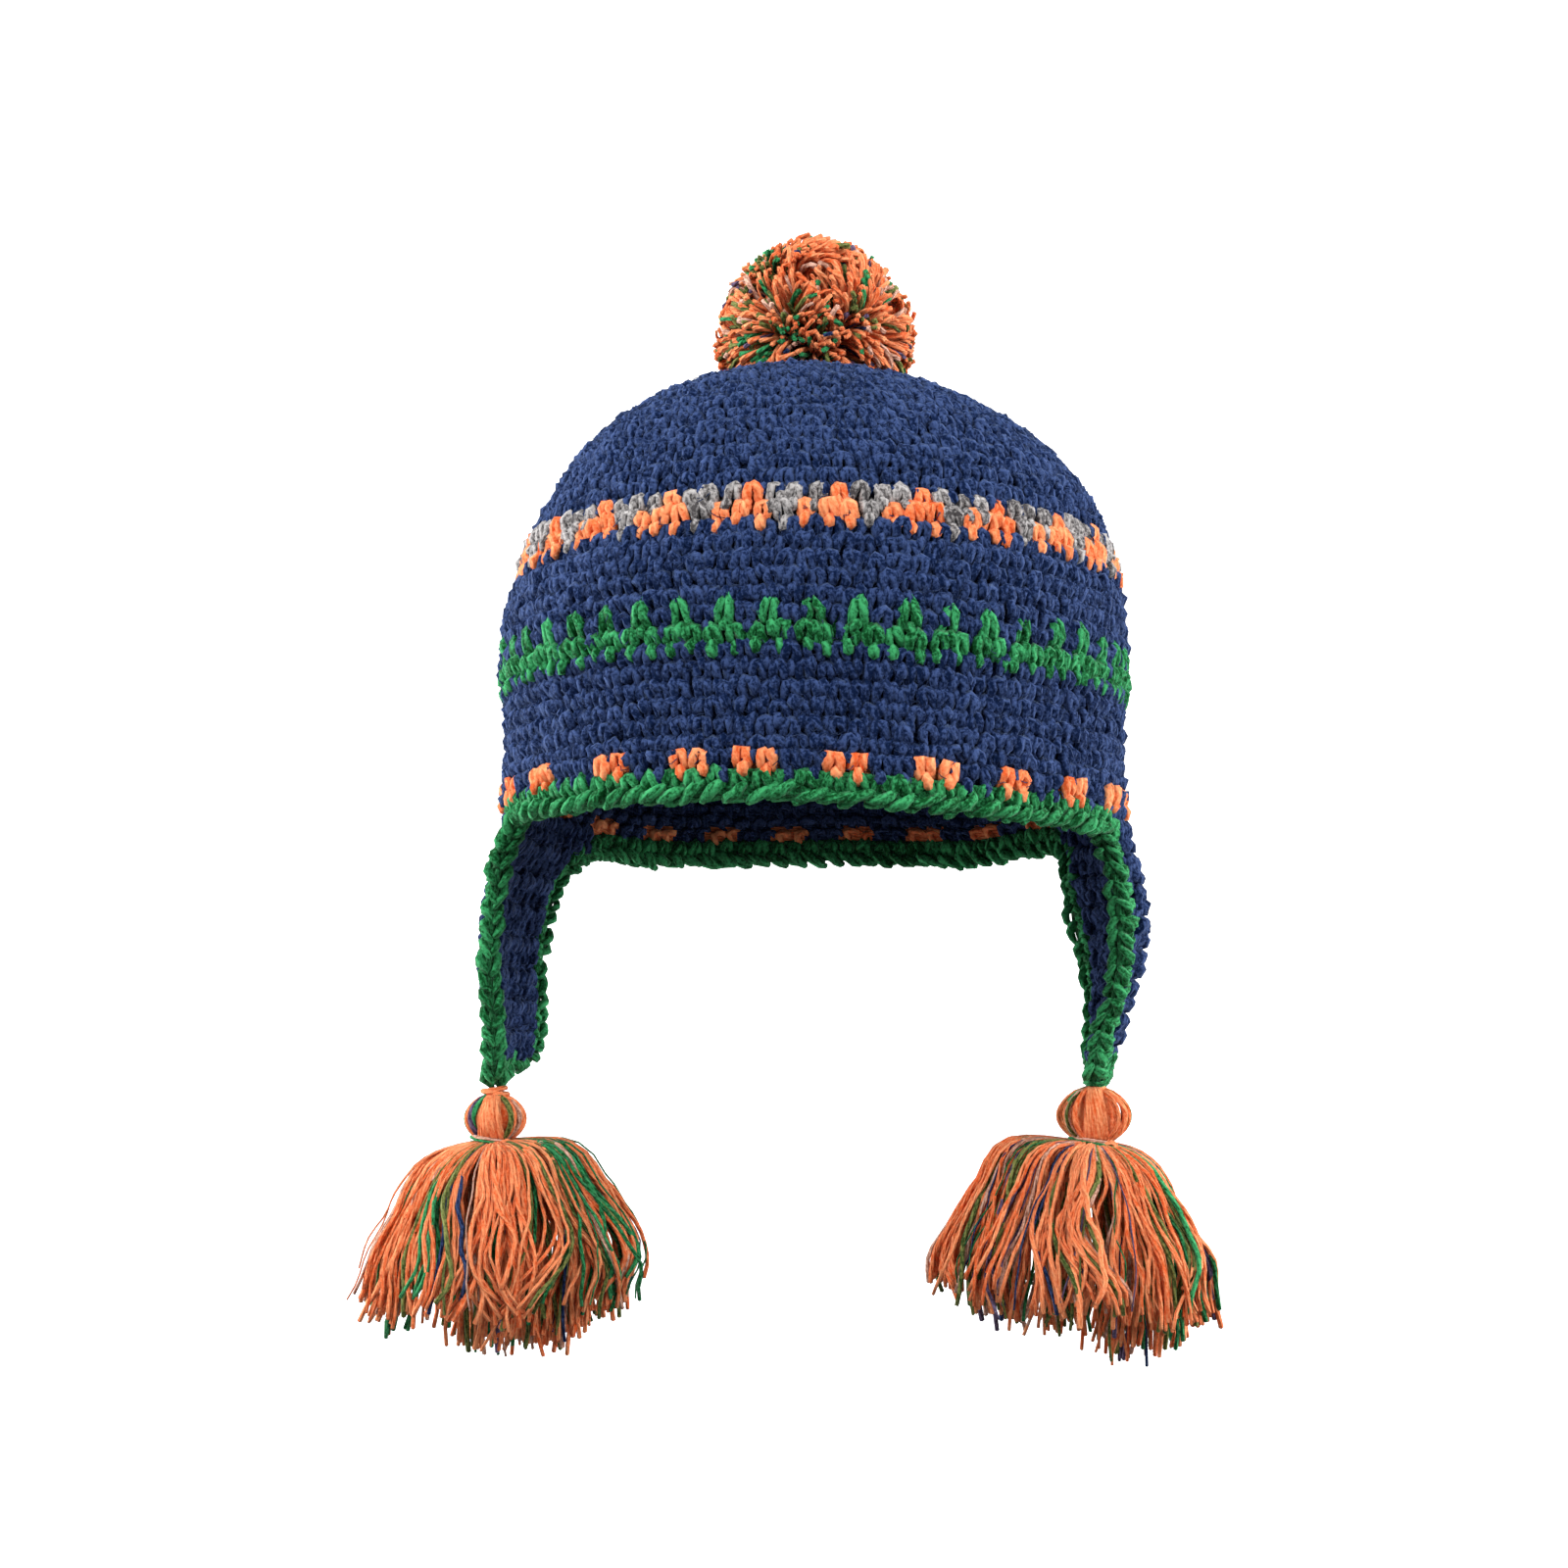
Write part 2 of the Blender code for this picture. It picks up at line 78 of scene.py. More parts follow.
class Wire:
    # One socket, so that shader maths reads as plain expressions

    def __init__(self, socket):
        self.socket = socket
        self.tree = socket.id_data

    def node(self, kind, settings, inputs, output=0):
        made = self.tree.nodes.new(kind)
        for name, value in settings.items():
            setattr(made, name, value)
        for name, value in inputs.items():
            if isinstance(value, Wire):
                self.tree.links.new(value.socket, made.inputs[name])
            else:
                made.inputs[name].default_value = value
        return Wire(made.outputs[output])

    def math(self, operation, first, second=0.0, clamp=False):
        return self.node("ShaderNodeMath", dict(operation=operation, use_clamp=clamp), {0: first, 1: second})

    def __add__(self, other):
        return self.math("ADD", self, other)

    def __sub__(self, other):
        return self.math("SUBTRACT", self, other)

    def __rsub__(self, other):
        return self.math("SUBTRACT", other, self)

    def __mul__(self, other):
        return self.math("MULTIPLY", self, other)

    def __pow__(self, other):
        return self.math("POWER", self, other)

    __radd__ = __add__
    __rmul__ = __mul__

    def sine(self):
        return self.math("SINE", self)

    def clamped(self):
        return self.math("ADD", self, 0.0, clamp=True)

    def blend(self, low, high):
        # The colour between low and high at this value
        return self.node(
            "ShaderNodeMix",
            dict(data_type="RGBA"),
            {0: self, 6: low if isinstance(low, Wire) else (*low, 1.0), 7: (*high, 1.0)},
            output=2,
        )

    def feed(self, shader, name):
        self.tree.links.new(self.socket, shader.inputs[name])


def makeWool(name, look):
    material = bpy.data.materials.new(name + "Wool")
    material.use_nodes = True
    shader = material.node_tree.nodes["Principled BSDF"]
    start = Wire(shader.outputs[0])
    strand = start.node("ShaderNodeUVMap", dict(uv_map="strand"), {})
    along = start.node("ShaderNodeSeparateXYZ", {}, {0: strand}, output=0)
    around = start.node("ShaderNodeSeparateXYZ", {}, {0: strand}, output=1)
    tone = start.node("ShaderNodeAttribute", dict(attribute_name="tone"), {}, output=2)
    turn = around * finish["plies"] + along * finish["twist"]
    # The ply wave is the twist's relief, and in the colour below it paints the crests lighter and the grooves darker:
    # painted light and shade
    ply = (turn * (2 * math.pi)).sine()
    # Fibres run along the yarn with its twist, so they are long one way and fine the other
    twisted = start.node(
        "ShaderNodeCombineXYZ", {}, {0: along * 0.4, 1: turn * 2.6, 2: tone * 40.0}
    )
    fibre = start.node("ShaderNodeTexNoise", {}, {"Vector": twisted, "Scale": 1.6, "Detail": 3.0, "Roughness": 0.65})
    place = start.node("ShaderNodeTexCoord", {}, {}, output=3)
    fluff = start.node("ShaderNodeTexNoise", {}, {"Vector": place, "Scale": 1150.0, "Detail": 2.0, "Roughness": 0.6})
    patch = start.node("ShaderNodeTexNoise", {}, {"Vector": place, "Scale": 70.0, "Detail": 2.0, "Roughness": 0.5})
    mixed = (fibre - 0.5) * (finish["fibreShade"] * (0.5 + look["heather"]))
    mixed = mixed + (fluff - 0.5) * (finish["fluffShade"] * look["heather"])
    shade = (
        0.46
        # painted light and shade of the ply twist
        + ply * (finish["paintedPlyShade"] * (0.3 + 0.7 * look["heather"]))
        + mixed
        + (tone - 0.5) * finish["toneShade"] * 2.0
        + (patch - 0.5) * 0.5
    ).clamped()
    shade.blend(look["dark"], look["light"]).feed(shader, "Base Color")
    height = ply * 0.5 + fibre * 0.9 + fluff * 0.5
    bump = start.node(
        "ShaderNodeBump",
        {},
        {"Strength": finish["reliefStrength"], "Distance": finish["reliefDepth"], "Height": height},
    )
    bump.feed(shader, "Normal")
    shader.inputs["Roughness"].default_value = finish["roughness"]
    shader.inputs["Sheen Weight"].default_value = finish["sheenWeight"]
    shader.inputs["Sheen Roughness"].default_value = finish["sheenRoughness"]
    shader.inputs["Sheen Tint"].default_value = (*look["sheen"], 1.0)
    shader.inputs["Specular IOR Level"].default_value = finish["specular"]
    return material


wools = [makeWool(name, look) for name, look in yarns.items()]
print("wool ready")


# Swept yarn: many lengths with the same number of rings are built at once


def sweep(paths, radii, sides):
    # paths is (lengths, rings, 3) and radii (lengths, rings); gives points (lengths, rings * sides + 2, 3)
    count, rings, _ = paths.shape
    ahead = np.gradient(paths, axis=1)
    ahead /= np.linalg.norm(ahead, axis=2, keepdims=True) + 1e-9
    start = np.cross(ahead[:, 0], np.array([0.31, 0.17, 0.93]))
    start /= np.linalg.norm(start, axis=1, keepdims=True) + 1e-9
    normals = [start]
    for ring in range(1, rings):
        carried = normals[-1] - np.sum(normals[-1] * ahead[:, ring], axis=1, keepdims=True) * ahead[:, ring]
        normals.append(carried / (np.linalg.norm(carried, axis=1, keepdims=True) + 1e-9))
    normal = np.stack(normals, axis=1)
    binormal = np.cross(ahead, normal)
    turns = 2 * np.pi * np.arange(sides) / sides
    spokes = (
        normal[:, :, None, :] * np.cos(turns)[None, None, :, None]
        + binormal[:, :, None, :] * np.sin(turns)[None, None, :, None]
    )
    points = paths[:, :, None, :] + spokes * radii[:, :, None, None]
    body = points.reshape(count, rings * sides, 3)
    tips = np.stack(
        (
            paths[:, 0] - ahead[:, 0] * radii[:, 0, None] * 0.5,
            paths[:, -1] + ahead[:, -1] * radii[:, -1, None] * 0.5,
        ),
        axis=1,
    )
    return np.concatenate((body, tips), axis=1)


def sweepFaces(rings, sides):
    # Corners of each quad and tip triangle, with their place along (0 to 1) and around (0 to 1)
    quads, quadPlaces, fans, fanPlaces = [], [], [], []
    for ring in range(rings - 1):
        for side in range(sides):
            after = (side + 1) % sides
            low, high = ring * sides, (ring + 1) * sides
            quads.append((low + side, low + after, high + after, high + side))
            a, b = ring / (rings - 1), (ring + 1) / (rings - 1)
            c, d = side / sides, (side + 1) / sides
            quadPlaces.append(((a, c), (a, d), (b, d), (b, c)))
    for side in range(sides):
        after = (side + 1) % sides
        c, d = side / sides, (side + 1) / sides
        fans.append((after, side, rings * sides))
        fanPlaces.append(((0.0, d), (0.0, c), (-0.1, (c + d) / 2)))
        last = (rings - 1) * sides
        fans.append((last + side, last + after, rings * sides + 1))
        fanPlaces.append(((1.0, c), (1.0, d), (1.1, (c + d) / 2)))
    return np.array(quads), np.array(quadPlaces), np.array(fans), np.array(fanPlaces)


class Heap:
    # Gathers swept yarn and sheets into one mesh

    def __init__(self, name):
        self.name = name
        self.points, self.tones = [], []
        self.corners, self.sizes, self.yarn = [], [], []
        self.strand, self.cells = [], []
        self.total = 0
        self.lengths = 0

    def addYarn(self, points, lengths, sides, yarn, tones):
        # points from sweep, the length of each in millimetres, its yarn's number and its tone
        count, size, _ = points.shape
        rings = (size - 2) // sides
        quads, quadPlaces, fans, fanPlaces = sweepFaces(rings, sides)
        base = self.total + np.arange(count)[:, None, None] * size
        cell = self.lengths + np.arange(count)
        for faces, places in ((quads, quadPlaces), (fans, fanPlaces)):
            self.corners.append((base + faces[None]).reshape(-1))
            self.sizes.append(np.full(count * len(faces), faces.shape[1]))
            self.yarn.append(np.repeat(yarn, len(faces)))
            flat = places.reshape(-1, 2)
            strand = np.empty((count, len(flat), 2))
            strand[:, :, 0] = flat[None, :, 0] * lengths[:, None] + tones[:, None] * 37.0
            strand[:, :, 1] = flat[None, :, 1]
            self.strand.append(strand.reshape(-1, 2))
            spot = np.empty((count, len(flat), 3))
            spot[:, :, 0] = 0.14 + 0.72 * flat[None, :, 0]
            spot[:, :, 1] = 0.04 + 0.92 * flat[None, :, 1]
            spot[:, :, 2] = cell[:, None]
            self.cells.append(spot.reshape(-1, 3))
        self.points.append(points.reshape(-1, 3))
        self.tones.append(np.repeat(tones, size))
        self.total += count * size
        self.lengths += count

    def addSheet(self, points, faces, yarn, tone, spread):
        # A closed sheet of quads: spread gives each corner its place in millimetres
        self.corners.append((self.total + faces).reshape(-1))
        self.sizes.append(np.full(len(faces), 4))
        self.yarn.append(yarn)
        self.strand.append(spread.reshape(-1, 2) * np.array([1.0, 0.25]))
        low, high = spread.reshape(-1, 2).min(axis=0), spread.reshape(-1, 2).max(axis=0)
        self.cells.append(
            np.concatenate(
                (
                    0.01 + 0.98 * (spread.reshape(-1, 2) - low) / (high - low),
                    np.full((len(faces) * 4, 1), -1.0),
                ),
                axis=1,
            )
        )
        self.points.append(points)
        self.tones.append(np.full(len(points), tone))
        self.total += len(points)

    def build(self, settle=None):
        points = np.concatenate(self.points)
        points = (settle(points) if settle else points) * mm
        corners = np.concatenate(self.corners)
        sizes = np.concatenate(self.sizes)
        mesh = bpy.data.meshes.new(self.name)
        mesh.vertices.add(len(points))
        mesh.vertices.foreach_set("co", points.astype(np.float32).reshape(-1))
        mesh.loops.add(len(corners))
        mesh.loops.foreach_set("vertex_index", corners.astype(np.int32))
        mesh.polygons.add(len(sizes))
        mesh.polygons.foreach_set("loop_start", np.concatenate(([0], np.cumsum(sizes)[:-1])).astype(np.int32))
        mesh.polygons.foreach_set("material_index", np.concatenate(self.yarn).astype(np.int32))
        tone = mesh.attributes.new("tone", "FLOAT", "POINT")
        tone.data.foreach_set("value", np.concatenate(self.tones).astype(np.float32))
        mesh.uv_layers.new(name="strand").data.foreach_set(
            "uv", np.concatenate(self.strand).astype(np.float32).reshape(-1)
        )
        mesh.uv_layers.new(name="OFBake").data.foreach_set("uv", self.atlas().astype(np.float32).reshape(-1))
        mesh.shade_smooth()
        mesh.update(calc_edges=True)
        mesh.validate()
        for wool in wools:
            mesh.materials.append(wool)
        piece = bpy.data.objects.new(self.name, mesh)
        bpy.context.scene.collection.objects.link(piece)
        triangles = int(np.sum(sizes - 2))
        print(self.name, triangles, "triangles")
        return piece

    def atlas(self):
        # Every length of yarn has a cell of its own, and the sheet the band above them
        spots = np.concatenate(self.cells)
        sheet = spots[:, 2] < 0
        top = 0.66 if sheet.any() and self.lengths else 1.0
        across = max(1, math.ceil(math.sqrt(self.lengths / 1.6)))
        down = max(1, math.ceil(self.lengths / across))
        column, row = spots[:, 2] % across, spots[:, 2] // across
        places = np.stack(((column + spots[:, 0]) / across, (row + spots[:, 1]) / down * top), axis=1)
        if self.lengths:
            places[sheet] = spots[sheet, :2] * (1.0, 1.0 - top) + (0.0, top)
        else:
            places = spots[:, :2]
        return places


def lengthOf(paths):
    return np.linalg.norm(np.diff(paths, axis=1), axis=2).sum(axis=1)


def place(heap, slot, node, settle=None):
    piece = heap.build(settle)
    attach(piece, "root")
    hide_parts(node)


# The wall that everything is worked on, as in the part's source

hat = dict(
    halfWidth=89.6,
    halfDepth=97.6,
    height=136.5,
    wall=5.0,
    edgeWidth=9.0,
    seamGap=0.3,
    earAngle=95.0,
    flapDrop=73.0,
    flapFront=44.0,
    flapRear=32.0,
    tipSweep=10.0,
    heelPlace=15.0,
    heelDepth=0.77,
    frontCornerRadius=6.0,
    rearCornerRadius=24.0,
    tipSeamRadius=1.5,
    heelSeamRadius=2.0,
    lean=7.5,
    leanMiddle=-5.0,
    leanReach=35.0,
    # height as a share of the crown's, half-width as a share of the crown's
    profile=(
        (-1.000, 1.000),
        (-0.010, 1.000),
        (0.110, 0.993),
        (0.220, 0.990),
        (0.330, 1.004),
        (0.440, 1.001),
        (0.535, 0.972),
        (0.623, 0.935),
        (0.703, 0.876),
        (0.791, 0.781),
        (0.864, 0.651),
        (0.923, 0.495),
        (0.967, 0.310),
        (1.000, 0.000),
    ),
    # drop as a share of the earflap's, lean of its front, middle and rear as shares of the largest
    rightLean=(
        (0.00, 0.00, 0.00, 0.00),
        (0.13, 0.51, 0.51, 0.51),
        (0.30, 0.71, 0.71, 0.71),
        (0.53, 0.81, 0.81, 0.81),
        (0.70, 0.60, 0.60, 0.60),
        (1.00, 0.48, 0.48, 0.48),
    ),
    leftLean=(
        (0.00, 0.00, 0.00, 0.00),
        (0.15, 0.27, 0.37, -0.60),
        (0.32, 0.37, 0.59, -0.60),
        (0.48, 0.27, 0.43, -0.27),
        (0.63, 0.00, 0.04, -0.08),
        (0.78, -0.60, -0.29, -0.16),
        (1.00, -1.00, -0.93, -0.67),
    ),
    # height and sideways shift of the soft crown, in millimetres
    shift=((0, 0.0), (62, 0.0), (73, 1.4), (84, 1.4), (95, 2.1), (106, 1.1), (118, -0.4), (130, -2.7)),
    # degrees from the front and sag of the rim there, in millimetres
    sag=((-180, -1.5), (-140, -3.5), (-110, 0.0), (-60, 0.0), (-20, 0.8), (0, 0.0), (30, -3.0), (60, -4.0),
         (90, -2.0), (120, 0.0), (150, -3.5), (180, -1.5)),
    # height and share of the sag that is left there
    sagFade=((-62, 0.0), (0, 1.0), (10, 1.0), (55, 0.6), (80, 0.3), (110, 0.0)),
)


def smoothCurve(knots, steps):
    # Catmull-Rom curve through the knots
    knots = np.array(knots, float)
    padded = np.concatenate((knots[:1], knots, knots[-1:]))
    t = (np.arange(steps) / steps)[:, None]
    curve = []
    for a, b, c, d in zip(padded, padded[1:], padded[2:], padded[3:]):
        curve.append(
            a * (-t + 2 * t**2 - t**3) / 2
            + b * (2 - 5 * t**2 + 3 * t**3) / 2
            + c * (t + 4 * t**2 - 3 * t**3) / 2
            + d * (t**3 - t**2) / 2
        )
    return np.concatenate(curve + [knots[-1:]])


wallCurve = smoothCurve(hat["profile"], 10)


def widthShare(height):
    return np.maximum(0.0, np.interp(np.asarray(height) / hat["height"], wallCurve[:, 0], wallCurve[:, 1]))


# Place along the crown's side from the seam to the top, with the half-width share and height there
seamHeight = hat["edgeWidth"] + hat["seamGap"]
upper = wallCurve[wallCurve[:, 0] * hat["height"] > seamHeight]
sideWidth = np.concatenate(([float(widthShare(seamHeight))], upper[:, 1]))
sideHeight = np.concatenate(([seamHeight], upper[:, 0] * hat["height"]))
sidePlace = np.concatenate(
    ([0.0], np.cumsum(np.hypot(np.diff(sideWidth) * hat["halfWidth"], np.diff(sideHeight))))
)
sideLength = sidePlace[-1]


def crownPoint(angle, place, out):
    # A point over the crown's outer surface: angle from the front in radians, place up from the seam
    def skin(at):
        inside = np.clip(at, None, sideLength - 0.2)
        share = np.interp(inside, sidePlace, sideWidth)
        rise = np.interp(inside, sidePlace, sideHeight) + np.minimum(at, 0.0)
        return share, rise

    share, rise = skin(place)
    shareBelow, riseBelow = skin(place - 2.0)
    shareAbove, riseAbove = skin(place + 2.0)
    inward = (shareAbove - shareBelow) * hat["halfWidth"]
    upward = riseAbove - riseBelow
    size = np.hypot(inward, upward) + 1e-9
    level, steep = upward / size, -inward / size
    # The oval's own outward direction
    nx = np.sin(angle) * hat["halfDepth"]
    ny = -np.cos(angle) * hat["halfWidth"]
    flat = np.hypot(nx, ny)
    return np.stack(
        (
            hat["halfWidth"] * share * np.sin(angle) + nx / flat * level * out,
            -hat["halfDepth"] * share * np.cos(angle) + ny / flat * level * out,
            rise + steep * out,
        ),
        axis=-1,
    )


# Arc length along the rim at the middle of the wall
rimAngles = np.linspace(0.0, math.pi, 721)
rimX = (hat["halfWidth"] * widthShare(0.0) - hat["wall"] / 2) * np.sin(rimAngles)
rimY = -(hat["halfDepth"] * widthShare(0.0) - hat["wall"] / 2) * np.cos(rimAngles)
rimArcs = np.concatenate(([0.0], np.cumsum(np.hypot(np.diff(rimX), np.diff(rimY)))))
halfRound = rimArcs[-1]
earArc = float(np.interp(math.radians(hat["earAngle"]), rimAngles, rimArcs))


def wallPoint(arc, height, out):
    # A point beside the middle of the wall, for an arc length from the front, positive towards +X
    arc = np.where(arc > halfRound, arc - 2 * halfRound, arc)
    angle = np.sign(arc) * np.interp(np.abs(arc), rimArcs, rimAngles)
    share = widthShare(height)
    drop = np.maximum(0.0, -height) / hat["flapDrop"]
    left, right = np.array(hat["leftLean"]), np.array(hat["rightLean"])
    front, middle, rear = (
        np.where(arc > 0, np.interp(drop, left[:, 0], left[:, k]), np.interp(drop, right[:, 0], right[:, k]))
        for k in (1, 2, 3)
    )
    across = np.clip((np.abs(arc) - earArc - hat["leanMiddle"]) / hat["leanReach"], -1.0, 1.0)
    stand = hat["lean"] * (middle + (rear - front) / 2 * across + ((rear + front) / 2 - middle) * across**2)
    reach = out - hat["wall"] / 2 + stand
    return np.stack(
        (
            (hat["halfWidth"] * share + reach) * np.sin(angle),
            -(hat["halfDepth"] * share + reach) * np.cos(angle),
            height + 0.0 * out,
        ),
        axis=-1,
    )


def soften(points):
    # The soft crown leans a little and its rim sags unevenly
    shift, sag, fade = (np.array(hat[name], float) for name in ("shift", "sag", "sagFade"))
    turn = np.degrees(np.arctan2(points[:, 0], -points[:, 1]))
    moved = points.copy()
    moved[:, 0] += np.interp(points[:, 2], shift[:, 0], shift[:, 1])
    moved[:, 2] += np.interp(turn, sag[:, 0], sag[:, 1]) * np.interp(points[:, 2], fade[:, 0], fade[:, 1])
    return moved


def flapOutline(inset):
    # One earflap's outline from front to rear, that far inside its free edge
    tipRadius = hat["edgeWidth"] + hat["tipSeamRadius"]
    heelRadius = hat["edgeWidth"] + hat["heelSeamRadius"]
    corners = (
        (-hat["flapFront"] - hat["frontCornerRadius"], -hat["frontCornerRadius"], -hat["frontCornerRadius"], 5),
        (-hat["flapFront"] + hat["tipSweep"] + tipRadius, tipRadius - hat["flapDrop"], tipRadius, 6),
        (hat["heelPlace"], -hat["heelDepth"] * hat["flapDrop"], heelRadius, 5),
        (hat["flapRear"] + hat["rearCornerRadius"], -hat["rearCornerRadius"], -hat["rearCornerRadius"], 7),
    )
    headings = [0.0]
    for (x0, y0, r0, _), (x1, y1, r1, _) in zip(corners, corners[1:]):
        run, rise = x1 - x0, y1 - y0
        headings.append(math.atan2(rise, run) - math.asin((r1 - r0) / math.hypot(run, rise)))
    headings.append(0.0)
    outline = []
    for i, (x, y, radius, steps) in enumerate(corners):
        turns = np.linspace(headings[i], headings[i + 1], steps + 1)
        bend = np.stack((x + (radius - inset) * np.sin(turns), y - (radius - inset) * np.cos(turns)), axis=1)
        if outline:
            share = np.linspace(0, 1, (7, 3, 3)[i - 1] + 1)[1:-1, None]
            outline.append(outline[-1][-1] * (1 - share) + bend[0] * share)
        outline.append(bend)
    return np.concatenate(outline)


def rimOutline(inset):
    # The whole edge once round: left earflap, back, right earflap, front
    flap = flapOutline(inset)
    left = flap + (earArc, 0.0)
    right = left[::-1] * (-1.0, 1.0)
    once = np.array((2 * halfRound, 0.0))
    back = np.linspace(left[-1], right[0] + once, 19)[1:-1]
    front = np.linspace(right[-1], left[0], 23)[1:-1]
    return np.concatenate((left, back, right + once, front + once, left[:1] + once))


rng = np.random.default_rng(7)


def scatter(count, size):
    return rng.normal(0.0, size, count)


# Stitches: each is an arch of yarn with a foot that pokes out between the two arches below

stitch = dict(
    width=5.86,
    rise=4.68,
    sides=5,
    # across as a share of the width, up as a share of the rise, out in millimetres, radius of the yarn
    arch=(
        (-0.27, -0.72, -1.1, 0.95),
        (-0.26, -0.42, 0.20, 1.36),
        (-0.25, -0.08, 0.85, 1.56),
        (-0.18, 0.20, 1.00, 1.54),
        (0.00, 0.36, 0.60, 1.38),
        (0.18, 0.20, 1.00, 1.54),
        (0.25, -0.08, 0.85, 1.56),
        (0.26, -0.42, 0.20, 1.36),
        (0.27, -0.72, -1.1, 0.95),
    ),
    spike=(
        (-0.27, -0.70, -1.1, 0.95),
        (-0.28, -0.36, 0.25, 1.30),
        (-0.26, 0.10, 0.95, 1.50),
        (-0.16, 0.66, 1.15, 1.45),
        (0.00, 1.12, 0.45, 1.10),
        (0.16, 0.66, 1.15, 1.45),
        (0.26, 0.10, 0.95, 1.50),
        (0.28, -0.36, 0.25, 1.30),
        (0.27, -0.70, -1.1, 0.95),
    ),
    foot=(
        (0.0, -0.42, -0.7, 0.85),
        (0.0, -0.58, 0.70, 1.40),
        (0.0, -0.80, 1.20, 1.62),
        (0.0, -1.02, 0.95, 1.45),
        (0.0, -1.14, -0.2, 0.90),
    ),
    # the back of a stitch: a slanted bar with a bump under it
    back=(
        (-0.52, 0.10, -0.6, 0.90),
        (-0.30, 0.22, 0.55, 1.30),
        (0.02, 0.16, 0.90, 1.45),
        (0.22, -0.10, 0.95, 1.40),
        (0.08, -0.40, 0.60, 1.20),
        (-0.16, -0.58, -0.5, 0.85),
    ),
    depth=1.75,  # the arches' base lies this far under the CAD surface
)


def workStitches(heap, table, centres, widths, rises, tilt, yarn, surface, depth, facing=1.0, wobble=1.0):
    # Works one stitch at each centre; surface maps (across, up, out) of each stitch's own frame to points
    table = np.array(table)
    count = len(centres)
    across = table[None, :, 0] * widths[:, None] * (1 + scatter(count, 0.05 * wobble))[:, None]
    up = table[None, :, 1] * rises[:, None] * (1 + scatter(count, 0.05 * wobble))[:, None]
    turn = scatter(count, 0.10 * wobble) + tilt
    slack = rng.normal(0.0, 0.14 * wobble, (3, count, len(table)))
    x = across * np.cos(turn)[:, None] - up * np.sin(turn)[:, None] + slack[0] + scatter(count, 0.22 * wobble)[:, None]
    y = across * np.sin(turn)[:, None] + up * np.cos(turn)[:, None] + slack[1] + scatter(count, 0.20 * wobble)[:, None]
    z = table[None, :, 2] + slack[2] + scatter(count, 0.22 * wobble)[:, None]
    thin = np.minimum(1.0, widths / stitch["width"])
    radii = table[None, :, 3] * thin[:, None] * (1 + scatter(count, 0.05))[:, None]
    paths = np.stack((x, y, z), axis=2)
    points = sweep(paths, radii, stitch["sides"])
    placed = surface(centres, points[..., 0], points[..., 1], facing * (points[..., 2] - depth))
    heap.addYarn(placed, lengthOf(paths), stitch["sides"], yarn, rng.random(count))


crown = dict(
    phase=-3.5,  # degrees from the front of the first stitch
    repeats=24,
    repeat=4,
    turns=((0, -0.5), (8, 0.0), (15, 1.3), (24, 1.3)),  # how far each row is turned, in degrees
    # row number from the seam, colours of one repeat of four stitches
    rows={
        0: ("orange", "navy", "navy", "orange"),
        7: ("green", "green", "green", "green"),
        8: ("green", "navy", "green", "navy"),
        14: ("grey", "orange", "orange", "orange"),
        15: ("grey", "grey", "orange", "grey"),
    },
    lateStitches=(86, 94),
    spikeRow=8,
    splitRows=(0, 13, 25, 60),
    pieces=("crownLowerRows", "crownMiddleRows", "crownTopRows"),
    backingDepth=2.7,
    innerRelief=0.9,
    wobble=1.45,
    colourRise=0.55,  # coloured stitches stand this much prouder
    innerRows=6,
    innerDepth=-3.7,  # the backs of the lowest rows lie this far under the outer surface
)

rowTotal = int(sideLength / stitch["rise"])
rowRise = sideLength / (rowTotal + 0.35)


fuzz = dict(fibres=4600, length=(2.0, 4.5), out=(-0.5, 0.7), radius=0.14)  # millimetres


def rowPlace(row):
    return (row + 0.55) * rowRise


def rowWidth(row):
    return np.interp(rowPlace(row), sidePlace, sideWidth)


def rowCount(row):
    # Stitches in a row: whole repeats until the crown starts to close
    full = crown["repeats"] * crown["repeat"]
    if row <= 16:
        return full
    return max(7, min(full, round(full * rowWidth(row) / 1.0)))


def rowStart(row):
    turn = np.interp(row, *np.array(crown["turns"]).T)
    step = 360.0 / rowCount(row)
    return crown["phase"] + turn + (step / 2 if row % 2 else 0.0)


def rowYarn(row, index):
    names = crown["rows"].get(row)
    if names is None:
        return np.full(len(index), yarnIndex["navy"])
    if row == 0:
        # Two of the orange pairs were worked one stitch late
        late = (index >= crown["lateStitches"][0]) & (index < crown["lateStitches"][1])
        index = index - late
    return np.array([yarnIndex[name] for name in names])[index % 4]


def crownSurface(centres, x, y, out):
    # Each stitch is centred on an angle and a place up the side
    share = np.interp(centres[:, 1], sidePlace, sideWidth)
    reach = np.hypot(
        hat["halfWidth"] * share * np.cos(centres[:, 0]), hat["halfDepth"] * share * np.sin(centres[:, 0])
    )
    angle = centres[:, 0, None] + x / np.maximum(reach, 4.0)[:, None]
    return crownPoint(angle, centres[:, 1, None] + y, out)


